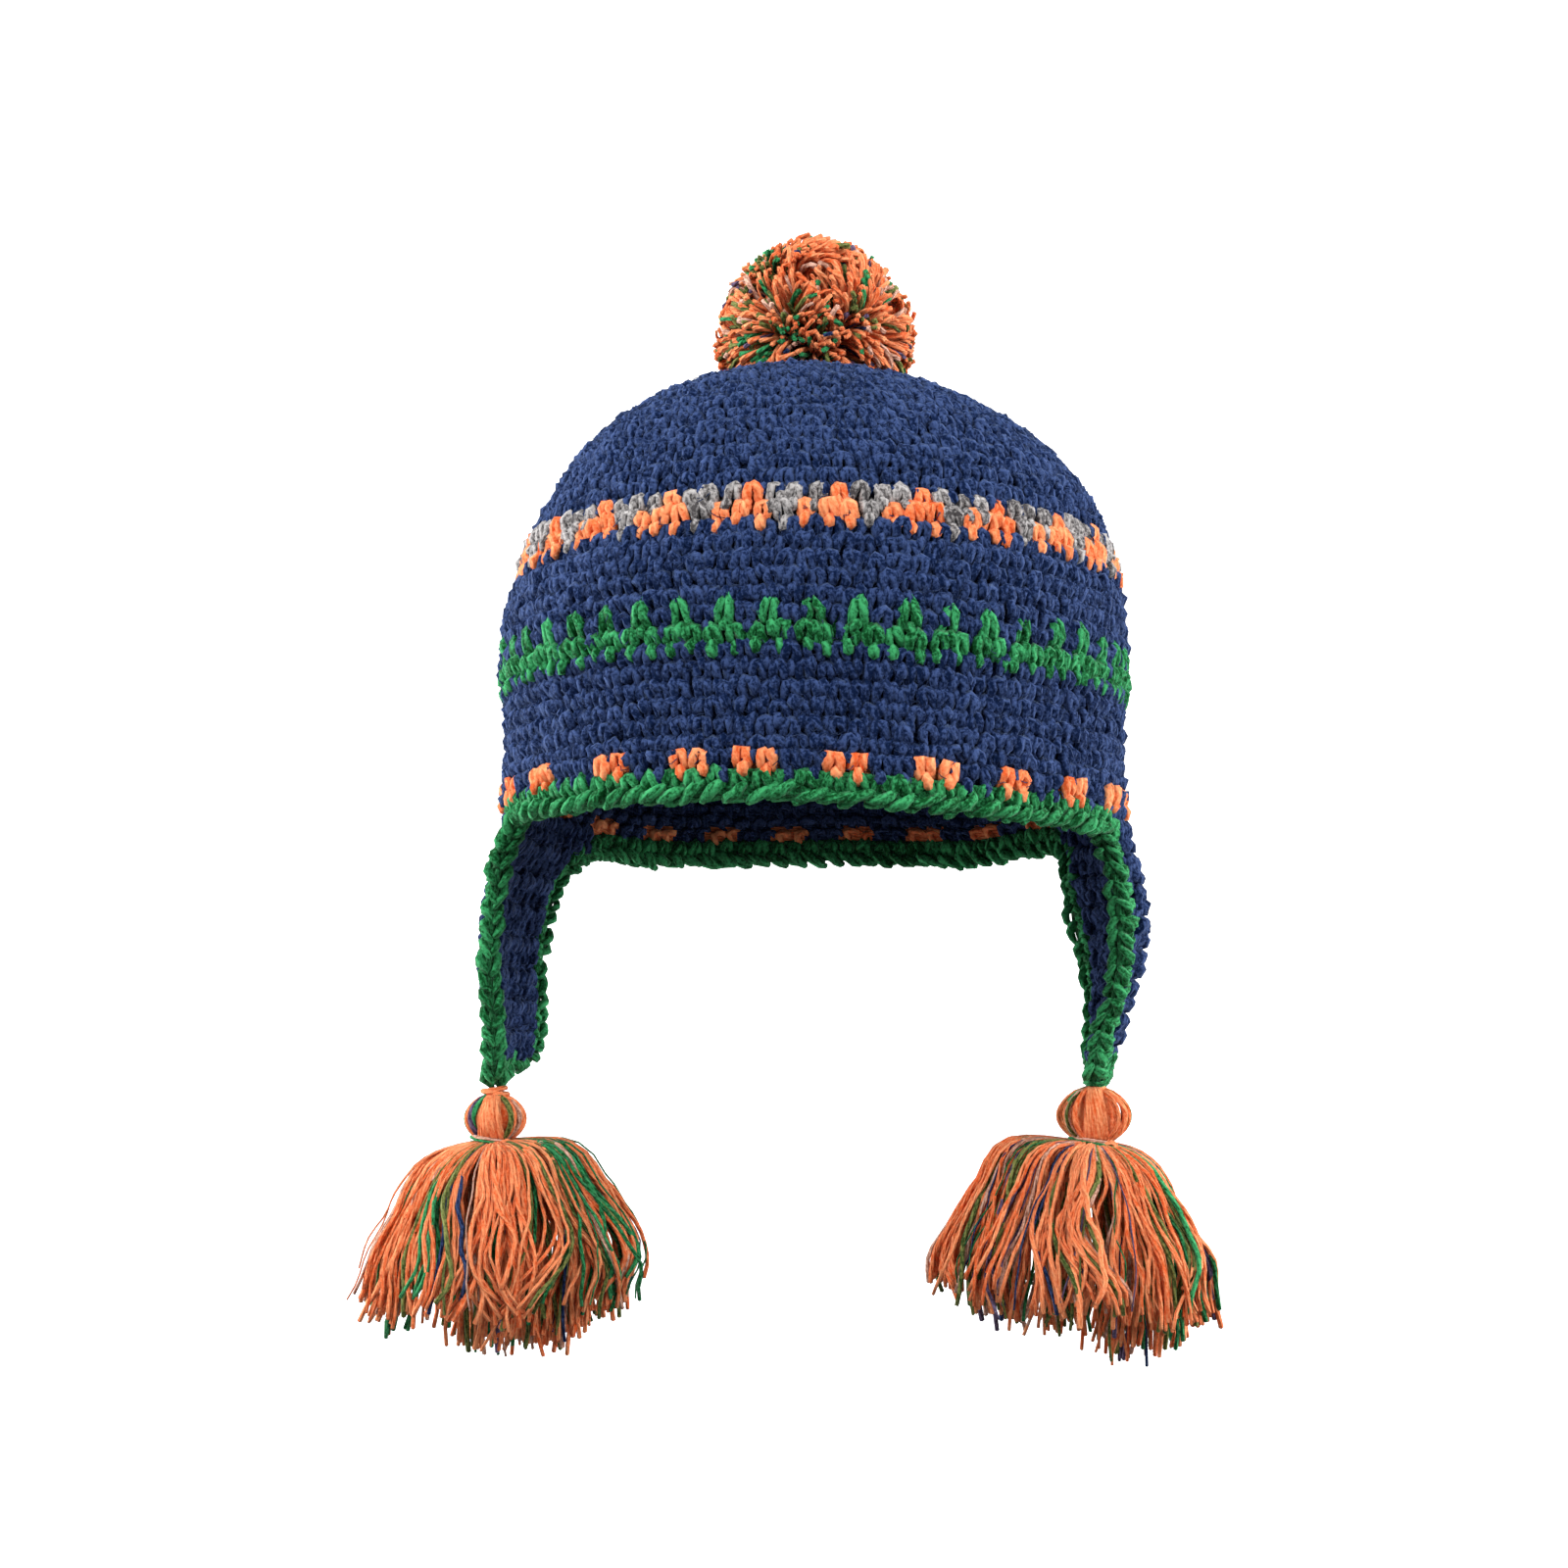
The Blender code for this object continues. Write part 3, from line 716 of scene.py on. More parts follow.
def buildCrownRows(name, first, last):
    heap = Heap(name)
    for row in range(first, min(last, rowTotal)):
        count = rowCount(row)
        index = np.arange(count)
        angles = np.radians(rowStart(row) + index * 360.0 / count)
        centres = np.stack((angles, np.full(count, rowPlace(row))), axis=1)
        share = rowWidth(row)
        reach = np.hypot(hat["halfWidth"] * share * np.cos(angles), hat["halfDepth"] * share * np.sin(angles))
        widths = reach * 2 * math.pi / count
        rises = np.full(count, rowRise)
        yarn = rowYarn(row, index)
        spiky = (row == crown["spikeRow"]) & (yarn == yarnIndex["green"])
        depth = stitch["depth"] - crown["colourRise"] * (yarn != yarnIndex["navy"])[:, None]
        for table, chosen in ((stitch["arch"], ~spiky), (stitch["spike"], spiky)):
            if chosen.any():
                workStitches(
                    heap, table, centres[chosen], widths[chosen], rises[chosen], 0.0, yarn[chosen],
                    crownSurface, depth[chosen], 1.0, crown["wobble"],
                )
        workStitches(
            heap, stitch["foot"], centres, widths, rises, 0.0, yarn, crownSurface, depth, 1.0, crown["wobble"]
        )
    return heap


def gridFaces(rows, columns):
    # Quads of a grid that closes on itself sideways
    row, column = np.meshgrid(np.arange(rows - 1), np.arange(columns), indexing="ij")
    after = (column + 1) % columns
    faces = np.stack(
        (row * columns + column, row * columns + after, (row + 1) * columns + after, (row + 1) * columns + column),
        axis=-1,
    )
    return faces.reshape(-1, 4)


def latticeRelief(angle, place):
    # Height of the stitches' backs over the inner side, and the yarn each point belongs to
    row = np.clip(np.floor(place / rowRise).astype(int), 0, rowTotal - 1)
    counts = np.array([rowCount(r) for r in range(rowTotal)])[row]
    starts = np.radians(np.array([rowStart(r) for r in range(rowTotal)]))[row]
    column = (angle - starts) / (2 * math.pi) * counts
    index = np.round(column).astype(int)
    across = column - index
    up = place / rowRise - row - 0.5
    bar = np.exp(-((up - 0.16) / 0.24) ** 2) * (0.72 + 0.28 * np.cos(2 * math.pi * (across + 0.1)))
    bump = np.exp(-(((up + 0.22) / 0.22) ** 2) - ((across / 0.27) ** 2))
    rough = np.sin(angle * 131.0 + row * 2.7) * np.sin(place * 1.9 + angle * 47.0)
    yarn = np.zeros(row.shape, int)
    for r in crown["rows"]:
        chosen = row == r
        yarn[chosen] = rowYarn(r, index[chosen] % rowCount(r))
    return np.maximum(bar, bump * 0.9) + 0.12 * rough, yarn


def buildBacking():
    # The inner side of the crown: backs of the stitches over a closed sheet
    heap = Heap("crownInside")
    columns = 240
    outerPlaces = np.linspace(-2.0, sideLength - 0.5, 22)
    innerPlaces = np.linspace(sideLength - 0.5, -1.0, 96)
    turns = np.arange(columns) / columns * 2 * math.pi
    rings, yarnRings = [], []
    for place in outerPlaces:
        rings.append(crownPoint(turns, np.full(columns, place), np.full(columns, -crown["backingDepth"])))
    for place in innerPlaces:
        places = np.full(columns, place)
        relief, _ = latticeRelief(turns, places)
        covered = place < crown["innerRows"] * rowRise  # real stitches lie over it there
        under = -3.6 if covered else -hat["wall"] + 0.75
        rings.append(crownPoint(turns, places, under - crown["innerRelief"] * (0.0 if covered else 1.0) * relief))
    points = np.concatenate(rings)
    faces = gridFaces(len(rings), columns)
    seam = np.stack((np.arange(columns), (np.arange(columns) + 1) % columns), axis=1)
    last = (len(rings) - 1) * columns
    join = np.stack((last + seam[:, 0], last + seam[:, 1], seam[:, 1], seam[:, 0]), axis=1)
    faces = np.concatenate((faces, join))
    places = np.concatenate((outerPlaces, innerPlaces))
    run = np.concatenate(([0.0], np.cumsum(np.abs(np.diff(places)) + 0.5)))
    rows = faces // columns
    cols = faces % columns
    wrap = (cols.max(axis=1) - cols.min(axis=1) > 2)[:, None] & (cols == 0)
    spread = np.stack((np.where(wrap, columns, cols) * 2.0, run[rows]), axis=-1)
    spread[-columns:, 2:, 1] = run[-1] + 2.0
    middle = points[faces].mean(axis=1)
    angle = np.arctan2(middle[:, 0] / hat["halfWidth"], -middle[:, 1] / hat["halfDepth"])
    _, yarn = latticeRelief(angle, places[rows].mean(axis=1))
    # The sheet's tone lies a little under the middle, so it is painted a little darker than the stitches: painted shade
    # in the gaps between them and over the inside
    heap.addSheet(points, faces, yarn, 0.45, spread)
    for row in range(crown["innerRows"]):
        count = rowCount(row)
        index = np.arange(count)
        angles = np.radians(rowStart(row) + index * 360.0 / count)
        centres = np.stack((angles, np.full(count, rowPlace(row) - 0.4)), axis=1)
        reach = np.hypot(hat["halfWidth"] * np.cos(angles), hat["halfDepth"] * np.sin(angles)) * rowWidth(row)
        workStitches(
            heap, stitch["back"], centres, reach * 2 * math.pi / count, np.full(count, rowRise), 0.3,
            rowYarn(row, index), crownSurface, crown["innerDepth"], -1.0, 1.6,
        )
    return heap


place(buildBacking(), "navy_wool", "crown", soften)
for name, first, last in zip(crown["pieces"], crown["splitRows"], crown["splitRows"][1:]):
    place(buildCrownRows(name, first, last), "navy_wool", "crown", soften)


def buildFuzz():
    # Loose fibres that lie over the crown's stitches
    heap = Heap("crownFuzz")
    count, rings = fuzz["fibres"], 3
    spots = np.stack((rng.uniform(0.0, 2 * math.pi, count), sideLength * rng.uniform(0.0, 1.0, count) ** 1.25), axis=1)
    share = np.linspace(-0.5, 0.5, rings)[None]
    length = rng.uniform(*fuzz["length"], count)[:, None]
    turn = rng.uniform(0.0, math.pi, (count, 1)) + rng.normal(0.0, 1.4, (count, 1)) * share
    out = rng.uniform(*fuzz["out"], (count, 1)) + rng.normal(0.0, 0.25, (count, rings))
    paths = np.stack((length * share * np.cos(turn), length * share * np.sin(turn), out), axis=2)
    points = sweep(paths, np.full((count, rings), fuzz["radius"]), 3)
    placed = crownSurface(spots, points[..., 0], points[..., 1], points[..., 2])
    heap.addYarn(placed, lengthOf(paths), 3, np.full(count, yarnIndex["navy"]), rng.uniform(0.4, 1.0, count))
    return heap


place(buildFuzz(), "navy_wool", "crown", soften)
print("crown worked")


# Earflaps: rows of stitches on both faces over a thin sheet, every other row standing proud

# sunk: how far the outer face lies in on each side
flap = dict(rib=0.75, sheet=0.9, faceDepth=-0.95, wobble=1.2, sunk={1.0: 0.0, -1.0: 1.2})


def flapSpan(height):
    # Front and rear places of a row, from the ear line
    outline = flapOutline(hat["edgeWidth"] - 0.6)
    lowest = int(np.argmin(outline[:, 1]))
    front = outline[: lowest + 1][::-1]
    rear = outline[lowest:]
    height = min(height, hat["edgeWidth"] - 3.0)
    return (
        float(np.interp(height, front[:, 1], front[:, 0])),
        float(np.interp(height, rear[:, 1], rear[:, 0])),
    )


def flapSurface(centres, x, y, out):
    return wallPoint(centres[:, 0, None] + x, centres[:, 1, None] + y, out)


def buildFlap(name, side):
    heap = Heap(name)
    bottom = flapOutline(hat["edgeWidth"])[:, 1].min()
    top = hat["edgeWidth"] + 0.5
    rows = int((top - bottom) / stitch["rise"])
    for row in range(rows):
        height = top - (row + 0.5) * stitch["rise"]
        front, rear = flapSpan(height)
        count = max(1, round((rear - front) / stitch["width"]))
        wide = (rear - front) / count
        index = np.arange(count)
        shift = 0.25 * wide if row % 2 else -0.25 * wide
        arcs = side * (earArc + front + (index + 0.5) * wide + (shift if count > 2 else 0.0))
        centres = np.stack((arcs, np.full(count, height)), axis=1)
        widths, rises = np.full(count, wide), np.full(count, stitch["rise"])
        yarn = np.full(count, yarnIndex["navy"])
        proud = flap["rib"] if row % 2 else -flap["rib"]
        for facing in (1.0, -1.0):
            for table in (stitch["arch"], stitch["foot"]):
                workStitches(
                    heap, table, centres, widths, rises, 0.0, yarn, flapSurface,
                    flap["faceDepth"] - facing * proud + (flap["sunk"][side] if facing > 0 else 0.0),
                    facing, flap["wobble"],
                )
    # The sheet between the faces follows the earflap's outline
    heights = np.linspace(hat["edgeWidth"] + 1.0, bottom + 1.0, 24)
    grid = []
    for height in heights:
        front, rear = flapSpan(height)
        grid.append(np.stack((np.linspace(front - 1.5, rear + 1.5, 16), np.full(16, height)), axis=1))
    grid = np.array(grid).reshape(-1, 2)
    arcs = side * (earArc + grid[:, 0])
    outer = wallPoint(arcs, grid[:, 1], np.full(len(grid), flap["sheet"]))
    inner = wallPoint(arcs, grid[:, 1], np.full(len(grid), -flap["sheet"]))
    row, column = np.meshgrid(np.arange(23), np.arange(15), indexing="ij")
    quads = np.stack(
        (row * 16 + column, row * 16 + column + 1, (row + 1) * 16 + column + 1, (row + 1) * 16 + column), axis=-1
    ).reshape(-1, 4)
    total = len(grid)
    ring = list(range(16)) + [r * 16 + 15 for r in range(1, 24)] + [23 * 16 + c for c in range(14, -1, -1)]
    ring += [r * 16 for r in range(22, 0, -1)]
    ring = np.array(ring)
    after = np.roll(ring, -1)
    rim = np.stack((ring, after, after + total, ring + total), axis=1)
    faces = np.concatenate((quads[:, ::-1], quads + total, rim))
    spread = np.concatenate((grid, grid + (90.0, 0.0)))[faces]
    spread[-len(rim) :, :, 0] = np.array([180.0, 182.0, 182.0, 180.0])
    # The sheet's low tone paints it darker than the stitches: painted shade in the gaps between them
    heap.addSheet(
        np.concatenate((outer, inner)), faces, np.full(len(faces), yarnIndex["navy"]), 0.3, spread
    )
    return heap


place(buildFlap("earflapLeftStitches", 1.0), "navy_wool", "earflap_left", soften)
place(buildFlap("earflapRightStitches", -1.0), "navy_wool", "earflap_right", soften)
print("earflaps worked")


# Edging: on both faces a round of stitches, and a chain of slanted links along the free edge

edging = dict(
    rimPitch=5.9,
    flapPitch=5.0,
    lumpInset=6.4,
    lumpRise=4.0,
    baseOut=0.8,
    wobble=1.4,
    # along as a share of the pitch, millimetres in from the free edge, out in millimetres, radius of the yarn
    link=(
        (-0.62, 1.15, -0.4, 0.95),
        (-0.30, 1.60, 0.65, 1.40),
        (0.05, 2.60, 1.55, 1.60),
        (0.42, 3.90, 1.35, 1.40),
        (0.66, 4.90, 0.20, 0.95),
    ),
    # along as a share of the pitch, in as a share of the rise, out in millimetres, radius of the yarn
    lump=(
        (-0.30, -0.50, -0.6, 1.00),
        (-0.25, -0.12, 0.65, 1.40),
        (-0.14, 0.30, 1.05, 1.45),
        (0.00, 0.56, 0.60, 1.20),
        (0.14, 0.30, 1.05, 1.45),
        (0.25, -0.12, 0.65, 1.40),
        (0.30, -0.50, -0.6, 1.00),
    ),
)

freeEdge = rimOutline(0.0)
sewnEdge = rimOutline(hat["edgeWidth"])
middleEdge = rimOutline(hat["edgeWidth"] * 0.4)
edgeSpots = wallPoint(middleEdge[:, 0], middleEdge[:, 1], np.zeros(len(middleEdge)))
edgeRun = np.concatenate(([0.0], np.cumsum(np.linalg.norm(np.diff(edgeSpots, axis=0), axis=1))))
edgeLength = edgeRun[-1]


def edgePlace(run, inset):
    # Arc and height of a point that far along the edge, and that far in from it
    run = run % edgeLength
    share = inset / hat["edgeWidth"]
    x = np.interp(run, edgeRun, freeEdge[:, 0]) * (1 - share) + np.interp(run, edgeRun, sewnEdge[:, 0]) * share
    y = np.interp(run, edgeRun, freeEdge[:, 1]) * (1 - share) + np.interp(run, edgeRun, sewnEdge[:, 1]) * share
    return x, y


def edgePoint(run, inset, out):
    x, y = edgePlace(run, inset)
    return wallPoint(x, y, out)


def edgeSurface(centres, x, y, out):
    return edgePoint(centres[:, 0, None] + x, centres[:, 1, None] + y, out)


def buildEdging():
    heap = Heap("edgingStitches")
    # Stitches counted along the edge: they are worked closer together on the earflaps
    fine = np.linspace(0.0, edgeLength, 4001)
    drop = np.clip(-edgePlace(fine, 0.0)[1] / 12.0, 0.0, 1.0)
    pitch = edging["rimPitch"] + (edging["flapPitch"] - edging["rimPitch"]) * drop
    worked = np.concatenate(([0.0], np.cumsum(np.diff(fine) / pitch[1:])))
    count = round(worked[-1])
    worked *= count / worked[-1]
    runs = np.interp(np.arange(count) + 0.5, worked, fine)
    widths = np.interp(np.arange(count) + 1.0, worked, fine) - np.interp(np.arange(count), worked, fine)
    green = np.full(count, yarnIndex["green"])
    for facing in (1.0, -1.0):
        for table, inset, rise in (("lump", edging["lumpInset"], edging["lumpRise"]), ("link", 0.0, 1.0)):
            centres = np.stack((runs, np.full(count, inset)), axis=1)
            workStitches(
                heap, edging[table], centres, widths, np.full(count, rise), 0.0, green, edgeSurface,
                -edging["baseOut"], facing, edging["wobble"],
            )
    # A thin strip fills the middle
    steps = 420
    runs = np.arange(steps) / steps * edgeLength
    section = ((2.0, 0.6), (8.8, 1.4), (8.8, -1.4), (2.0, -0.6))
    rings = [edgePoint(runs, np.full(steps, inset), np.full(steps, out)) for inset, out in section]
    faces = gridFaces(4, steps)
    seam = np.stack((np.arange(steps), (np.arange(steps) + 1) % steps), axis=1)
    join = np.stack((3 * steps + seam[:, 0], 3 * steps + seam[:, 1], seam[:, 1], seam[:, 0]), axis=1)
    faces = np.concatenate((faces, join))
    columns = faces % steps
    wrap = (columns.max(axis=1) - columns.min(axis=1) > 2)[:, None] & (columns == 0)
    spread = np.stack((np.where(wrap, steps, columns) * 2.0, (faces // steps) * 4.0), axis=-1)
    spread[-steps:, 2:, 1] = 16.0
    # The strip's low tone paints it darker than the stitches: painted shade in the gaps between them
    heap.addSheet(np.concatenate(rings), faces, np.full(len(faces), yarnIndex["green"]), 0.3, spread)
    return heap


place(buildEdging(), "green_wool", "edging", soften)
print("edging worked")


# Cut yarn: pompom and tassels

mixture = dict(
    names=("orange", "green", "moss", "plum", "navy", "rose"),
    shares=(0.66, 0.07, 0.11, 0.04, 0.02, 0.10),
    lockShares=(0.72, 0.08, 0.09, 0.02, 0.01, 0.08),
)


def pickYarn(count, shares=None):
    picked = rng.choice(len(mixture["names"]), size=count, p=shares or mixture["shares"])
    return np.array([yarnIndex[name] for name in mixture["names"]])[picked]


pompom = dict(
    radius=28.6,
    rise=10.4,
    tufts=88,
    tuftStrands=24,
    tuftWidth=0.13,  # in radians
    coreStrands=600,
    coreReach=0.84,
    strandRadius=0.76,
    rings=6,
    sides=4,
    rootReach=0.42,  # as a share of the radius
    tall=1.06,  # stretched upwards by this much
    ownYarn=0.65,  # share of strands that keep a yarn of their own
    # where the yarn parts, as across, towards the back and up: the first three show from the front
    partings=(
        (0.57, -0.82, 0.02),
        (-0.33, -0.93, -0.10),
        (0.05, -0.92, -0.42),
        (-0.55, -0.30, 0.72),
        (0.45, 0.35, 0.80),
        (-0.90, 0.30, -0.10),
        (0.88, 0.40, -0.15),
        (0.15, 0.95, 0.15),
        (-0.45, 0.80, -0.35),
    ),
)


def crownTop(points):
    share = np.hypot(points[..., 0] / hat["halfWidth"], points[..., 1] / hat["halfDepth"])
    rising = wallCurve[wallCurve[:, 0] > 0.5][::-1]
    return np.interp(share, rising[:, 1], rising[:, 0]) * hat["height"]


def spiral(count):
    # Evenly spread directions
    up = 1 - 2 * (np.arange(count) + 0.5) / count
    turn = np.arange(count) * math.pi * (3 - math.sqrt(5))
    flat = np.sqrt(1 - up**2)
    return np.stack((flat * np.cos(turn), flat * np.sin(turn), up), axis=1)


def unit(vectors):
    return vectors / (np.linalg.norm(vectors, axis=-1, keepdims=True) + 1e-9)


def buildPompom():
    # Tufts fan out from a few partings and lie along the ball before their cut ends
    heap = Heap("pompomStrands")
    each, sides, share = pompom["tuftStrands"], pompom["sides"], np.linspace(0.0, 1.0, pompom["rings"])
    tips = unit(spiral(pompom["tufts"]) + rng.normal(0.0, 0.05, (pompom["tufts"], 3)))
    partings = unit(np.array(pompom["partings"]))
    roots = unit(partings[np.argmax(tips @ partings.T, axis=1)] * 0.85 + tips * 0.30)
    tuftYarn = pickYarn(len(tips), mixture["lockShares"])
    tips, roots, tuftYarn = (np.repeat(values, each, axis=0) for values in (tips, roots, tuftYarn))
    count = len(tips)
    ends = unit(tips + rng.normal(0.0, pompom["tuftWidth"], (count, 3)))
    roots = unit(roots + rng.normal(0.0, 0.07, (count, 3)) + (ends - tips) * 0.5)
    lean = (share**0.8)[None, :, None]
    headings = unit(roots[:, None] * (1 - lean) + ends[:, None] * lean)
    root = pompom["rootReach"] * (1 + scatter(count, 0.12))
    reach = root[:, None] + (1 + scatter(count, 0.025) - root)[:, None] * np.sin(share * math.pi / 2)[None] ** 0.9
    paths = headings * (reach * pompom["radius"])[:, :, None]
    paths += rng.normal(0.0, 0.4, (count, 1, 3)) * (np.sin(share * math.pi) * 1.2)[None, :, None]
    # Straight strands fill the middle
    core = unit(rng.normal(0.0, 1.0, (pompom["coreStrands"], 3)))
    coreReach = pompom["coreReach"] * (1 + scatter(len(core), 0.07))
    coreReach = coreReach[:, None] * (0.15 + 0.85 * share)[None]
    paths = np.concatenate((paths, core[:, None] * (coreReach * pompom["radius"])[:, :, None]))
    ends = np.concatenate((ends, core))
    tuftYarn = np.concatenate((tuftYarn, pickYarn(len(core))))
    paths[..., 2] *= np.where(paths[..., 2] > 0.0, pompom["tall"], 1.0)
    paths += np.array((0.5, 0.0, hat["height"] + pompom["rise"]))
    # Strands that would go through the crown lie on it
    floor = crownTop(paths) + 0.9
    low = paths[..., 2] < floor
    paths[..., 2] = np.where(low, floor, paths[..., 2])
    kept = ~low[:, -1] | (ends[:, 2] > -0.6)
    paths, tuftYarn = paths[kept], tuftYarn[kept]
    count = len(paths)
    yarn = np.where(rng.random(count) < pompom["ownYarn"], pickYarn(count), tuftYarn)
    radii = pompom["strandRadius"] * (0.62 + 0.40 * share)[None] * (1 + rng.normal(0, 0.14, (count, 1)))
    points = sweep(paths, radii, sides)
    heap.addYarn(points, lengthOf(paths), sides, yarn, rng.random(count))
    return heap


place(buildPompom(), "mixed_wool", "pompom")
print("pompom tied")


tassel = dict(
    tieYarn=1.3,
    headHeight=10.8,
    skirtRadius=38.8,
    locks=60,
    lockStrands=10,
    outerLocks=36,
    rings=18,
    sides=4,
    strandRadius=0.61,
    lockSpread=2.3,  # how far a lock's strands stand apart at their ends, in millimetres
    ownYarn=0.66,
    strays=26,
    # depth below the neck in millimetres, half-width as a share of the skirt's
    spread=((0.0, 0.06), (1.0, 0.20), (2.8, 0.36), (5.5, 0.51), (8.6, 0.645), (13.0, 0.755), (19.3, 0.86),
            (30.3, 0.985), (41.0, 1.0), (62.0, 0.92)),
    # half-width as a share of the skirt's, depth at which its strands are cut
    cut=((0.0, 56.0), (0.30, 55.5), (0.44, 55.0), (0.60, 53.0), (0.77, 50.5), (0.92, 46.0), (1.0, 42.0)),
    # how each tassel hangs: depth below the neck, share more reach towards the wearer's right and left
    hang=dict(
        Left=((0, 0.30, -0.10), (3, 0.30, -0.18), (6, 0.25, -0.22), (10, 0.16, -0.27), (16, 0.10, -0.29),
              (22, 0.10, -0.27), (30, 0.12, -0.18), (40, 0.10, -0.18), (50, 0.08, -0.10)),
        Right=((0, 0.0, 0.15), (3, -0.03, 0.17), (6, -0.08, 0.16), (10, -0.14, 0.13), (16, -0.18, 0.09),
               (22, -0.19, 0.10), (30, -0.16, 0.09), (40, -0.12, -0.02), (50, 0.03, 0.0)),
    ),
    # how high the strands arch before they fall, towards the wearer's right and left
    arch=dict(Left=(5.6, 0.8), Right=(0.8, 4.7)),
    # share more length towards the wearer's left, and of the whole
    length=dict(Left=(0.07, 0.955), Right=(0.0, 0.99)),
    headWidth=dict(Left=10.2, Right=8.8),
    headTop=dict(Left=15.0, Right=12.8),  # the slack loops rise over the tie
    headRound=0.62,
    bundleStrands=9,
    bundleWidth=3.6,
    sideStrands=34,
)


def tasselPlaces(side):
    sweepPlace = -hat["flapFront"] + hat["tipSweep"] + hat["edgeWidth"] + hat["tipSeamRadius"]
    tip = wallPoint(np.array([side * (earArc + sweepPlace)]), np.array([-hat["flapDrop"]]), np.zeros(1))[0]
    tie = tip - (0.0, 0.0, hat["seamGap"] + tassel["tieYarn"])
    headTop = tie - (0.0, 0.0, tassel["tieYarn"] + hat["seamGap"])
    return tie, headTop, headTop - (0.0, 0.0, tassel["headHeight"])


def aroundAxis(centre, turn, reach, height):
    return np.stack((centre[0] + reach * np.sin(turn), centre[1] - reach * np.cos(turn), centre[2] + height), axis=-1)


def wander(count, rings, size, waves):
    # Smooth sideways wandering of strands, nothing at their start
    share = np.linspace(0.0, 1.0, rings)
    total = np.zeros((count, rings))
    for wave in waves:
        total += rng.normal(0.0, 1.0 / wave, (count, 1)) * np.sin(
            share[None] * math.pi * wave + rng.random((count, 1)) * 2 * math.pi
        )
    return total * size * share[None] ** 0.8


def skirtPaths(neck, turns, shares, spread, word, rings):
    # One path for each turn round the neck, with that share of the full reach
    count = len(turns)
    spreadTable, cutTable = smoothCurve(tassel["spread"], 6), np.array(tassel["cut"])
    ends = np.interp(shares, cutTable[:, 0], cutTable[:, 1]) * (1 + scatter(count, 0.04))
    slant, whole = tassel["length"][word]
    ends *= whole * (1 + slant * np.sin(turns) - 0.12 * (rng.random(count) < 0.12))
    along = np.linspace(0.0, 1.0, rings)[None] ** 1.45
    depth = ends[:, None] * along
    reach = np.interp(depth, spreadTable[:, 0], spreadTable[:, 1]) * tassel["skirtRadius"] * shares[:, None]
    hang = smoothCurve(tassel["hang"][word], 6)
    sway = np.sin(turns)[:, None]
    reach *= 1 + np.interp(depth, hang[:, 0], hang[:, 1]) * np.maximum(-sway, 0.0)
    reach *= 1 + np.interp(depth, hang[:, 0], hang[:, 2]) * np.maximum(sway, 0.0)
    inner, outer = tassel["arch"][word]
    height = (inner * np.maximum(-sway, 0.0) + outer * np.maximum(sway, 0.0)) * shares[:, None]
    depth = depth - height * np.sin(np.minimum(depth / 10.0, 1.0) * math.pi)
    apart = rng.normal(0.0, spread, (2, count, 1)) * along[None] ** 0.7
    reach = reach + apart[0] + wander(count, rings, 1.3, (2, 4, 7, 10))
    sideways = apart[1] + wander(count, rings, 2.4, (1, 2, 4, 7, 10))
    reach = np.maximum(reach, 0.6)
    return aroundAxis(neck, turns[:, None] + sideways / np.maximum(reach, 5.0), reach, -depth)


